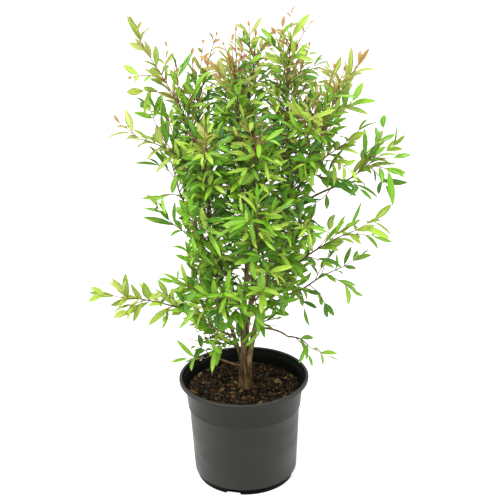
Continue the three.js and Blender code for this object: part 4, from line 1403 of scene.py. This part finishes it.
def soil_height(x, y):
    """The soil's surface: lumps, a mound at the trunk, and a drop at the pot's wall."""
    lumps = noise.fractal(Vector((x, y, LUMP_LAYER)) / LUMP_SIZE, *LUMP_FRACTAL)
    mound = MOUND_HEIGHT * math.exp(-((x - TRUNK["foot"][0]) ** 2 + y ** 2) / MOUND_SPREAD)
    drop = SOIL_EDGE_DROP * (math.hypot(x, y) / SOIL_RADIUS) ** 4
    return SOIL_TOP - drop + LUMP_DEPTH * lumps + mound


def build_crust():
    """The soil's upper side as rings round its middle, and a closed foot below it."""
    corners = [(0, 0, soil_height(0, 0))]
    turns = [2 * math.pi * side / SOIL_SIDES for side in range(SOIL_SIDES)]
    for ring in range(1, SOIL_RINGS + 1):
        radius = SOIL_RADIUS * ring / SOIL_RINGS
        spots = [(radius * math.cos(turn), radius * math.sin(turn)) for turn in turns]
        corners += [(x, y, soil_height(x, y)) for x, y in spots]
    corners += [(x * SOIL_TAPER, y * SOIL_TAPER, SOIL_FOOT) for x, y, z in corners[-SOIL_SIDES:]]
    faces = [(0, 1 + side, 1 + (side + 1) % SOIL_SIDES) for side in range(SOIL_SIDES)]
    for ring in range(SOIL_RINGS):
        low = 1 + ring * SOIL_SIDES
        for side in range(SOIL_SIDES):
            a, b = low + side, low + (side + 1) % SOIL_SIDES
            faces.append((a, a + SOIL_SIDES, b + SOIL_SIDES, b))
    last = 1 + SOIL_RINGS * SOIL_SIDES
    faces.append(tuple(reversed(range(last, last + SOIL_SIDES))))
    crust = Builder()
    crust.add(corners, faces)
    crust.piece("soil_crust", soil_material("soil_fine", SOIL_COLOUR, 1.5), "soil", ["soil"])


def chip_spot(i, use):
    """An even but irregular place on the soil, off the trunk's foot."""
    radius = (SOIL_RADIUS - CHIP_EDGE) * math.sqrt((i + 0.5) / CHIP_COUNT)
    turn = i * GOLDEN_TURN + CHIP_SWING * either(dice(i, use, 40))
    x, y = radius * math.cos(turn), radius * math.sin(turn)
    if math.hypot(x - TRUNK["foot"][0], y) < CHIP_CLEAR:
        x += CHIP_SIDESTEP
    return x, y


def icosahedron():
    """Twelve corners on a ball of radius 1, and the twenty faces between them."""
    golden = (1 + math.sqrt(5)) / 2
    corners = np.array([
        (-1, golden, 0), (1, golden, 0), (-1, -golden, 0), (1, -golden, 0),
        (0, -1, golden), (0, 1, golden), (0, -1, -golden), (0, 1, -golden),
        (golden, 0, -1), (golden, 0, 1), (-golden, 0, -1), (-golden, 0, 1)])
    faces = [
        (0, 11, 5), (0, 5, 1), (0, 1, 7), (0, 7, 10), (0, 10, 11), (1, 5, 9), (5, 11, 4),
        (11, 10, 2), (10, 7, 6), (7, 1, 8), (3, 9, 4), (3, 4, 2), (3, 2, 6), (3, 6, 8),
        (3, 8, 9), (4, 9, 5), (2, 4, 11), (6, 2, 10), (8, 6, 7), (9, 8, 1)]
    return corners / np.linalg.norm(corners, axis=1)[:, None], faces


def build_chips():
    """Flat, jagged chips of bark, lying at all turns, in a few colours."""
    ball, faces = icosahedron()
    builders = [Builder() for _ in CHIP_TINTS]
    for i in range(CHIP_COUNT):
        x, y = chip_spot(i, 1)
        long = lerp(*CHIP_LONG, dice(i, 2, 41) ** 2.0)
        size = long * np.array([1, lerp(*CHIP_WIDE, dice(i, 3, 42)), lerp(*CHIP_THICK, dice(i, 4, 43))]) / 2
        spin = Matrix.Rotation(ANY_TURN * dice(i, 5, 44), 3, "Z")
        tip = Matrix.Rotation(CHIP_TILT * either(dice(i, 6, 45)), 3, "X")
        jags = [either(dice(i, 7 + k, 46)) for k in range(len(ball))]
        jitter = np.array([[1 + CHIP_JAGGEDNESS * jag] for jag in jags])
        corners = (ball * jitter * size) @ np.array(spin @ tip).T
        corners = corners + np.array([x, y, soil_height(x, y) + size[2] * CHIP_LIFT])
        tint = next(t for t, share in enumerate(CHIP_DEAL) if dice(i, 20, 47) <= share)
        builders[tint].add(corners, faces)
    for (name, colour), builder in zip(CHIP_TINTS, builders):
        look = soil_material(f"chip_{name}", colour, 0.8)
        builder.piece(f"chips_{name}", look, "soil", ["soil"], smooth=False)


def build_fibres():
    """Thin fibres of bark that lie across the chips."""
    fibres = Builder()
    for i in range(FIBRE_COUNT):
        spot = np.array(chip_spot(i * CHIP_COUNT / FIBRE_COUNT, 2))
        turn = ANY_TURN * dice(i, 1, 50)
        reach = lerp(*FIBRE_REACH, dice(i, 2, 51) ** 1.5)
        way = np.array([math.cos(turn), math.sin(turn)])
        ends = [spot - reach * way, spot + reach * way]
        if max(math.hypot(*end) for end in ends) >= SOIL_RADIUS - FIBRE_EDGE:
            continue
        foot, tip = ((*end, soil_height(*end) + FIBRE_LIFT) for end in ends)
        curve = LimbCurve(foot, tip, FIBRE_BOW, reach * FIBRE_SWAY, i)
        shares = np.linspace(0, 1, len(FIBRE_RADII))
        fibres.add(tube(curve, FIBRE_RADII, FIBRE_SIDES, shares), ring_faces(len(shares), FIBRE_SIDES))
    fibres.piece("soil_fibres", soil_material("fibre", FIBRE_COLOUR, 0.3), "soil", ["soil"])


# ---- Stage ----

def build_stage():
    """A plain pale floor that glows a little, so that shadows on it stay light."""
    corners = [(x * FLOOR_REACH, y * FLOOR_REACH, 0) for x, y in ((-1, -1), (1, -1), (1, 1), (-1, 1))]
    floor = put("floor", mesh_of("floor", corners, [(0, 1, 2, 3)]))
    white = material("floor_white", FLOOR_COLOUR, roughness=0.8, specular=0.1)
    shader_of(white).inputs["Emission Color"].default_value = (1, 1, 1, 1)
    shader_of(white).inputs["Emission Strength"].default_value = FLOOR_GLOW
    floor.data.materials.append(white)


def aimed(lamp, way):
    """Turns a lamp to shine along a direction."""
    lamp.rotation_euler = Vector(way).to_track_quat("-Z", "Y").to_euler()


def build_lights():
    """An even white sky, a broad sun from in front and above, and three soft lamps."""
    world = bpy.data.worlds.new("studio")
    world.use_nodes = True
    background = world.node_tree.nodes["Background"]
    background.inputs["Color"].default_value = (1, 1, 1, 1)
    background.inputs["Strength"].default_value = SKY_STRENGTH
    bpy.context.scene.world = world
    sun = bpy.data.lights.new("sun", "SUN")
    sun.energy = SUN_STRENGTH
    sun.angle = math.radians(SUN_WIDTH)
    aimed(put("sun", sun), SUN_WAY)
    for name, place, size, power in LAMPS:
        light = bpy.data.lights.new(name, "AREA")
        light.shape = "DISK"
        light.size = size
        light.energy = power
        lamp = put(name, light)
        lamp.location = place
        aimed(lamp, Vector(LAMP_TARGET) - Vector(place))


def build_camera():
    pitch = math.radians(CAMERA_PITCH)
    roll = math.radians(CAMERA_ROLL)
    forward = Vector((0, math.cos(pitch), -math.sin(pitch)))
    level = Vector((1, 0, 0))
    above = level.cross(forward)
    right = level * math.cos(roll) + above * math.sin(roll)
    up = above * math.cos(roll) - level * math.sin(roll)
    data = bpy.data.cameras.new("camera")
    data.sensor_width = SENSOR
    data.lens = FOCAL_PIXELS / IMAGE * SENSOR
    data.clip_end = 100
    camera = put("camera", data)
    turned = Matrix((right, up, -forward)).transposed().to_4x4()
    camera.matrix_world = Matrix.Translation(Vector(CAMERA_PLACE) * MM) @ turned
    bpy.context.scene.camera = camera


build_camera()
build_pot()
build_crust()
build_chips()
build_fibres()
build_trunk()
build_stems()
build_twigs()
build_leaves()
build_stage()
build_lights()
bpy.context.scene.view_settings.view_transform = "Standard"
bpy.context.view_layer.update()
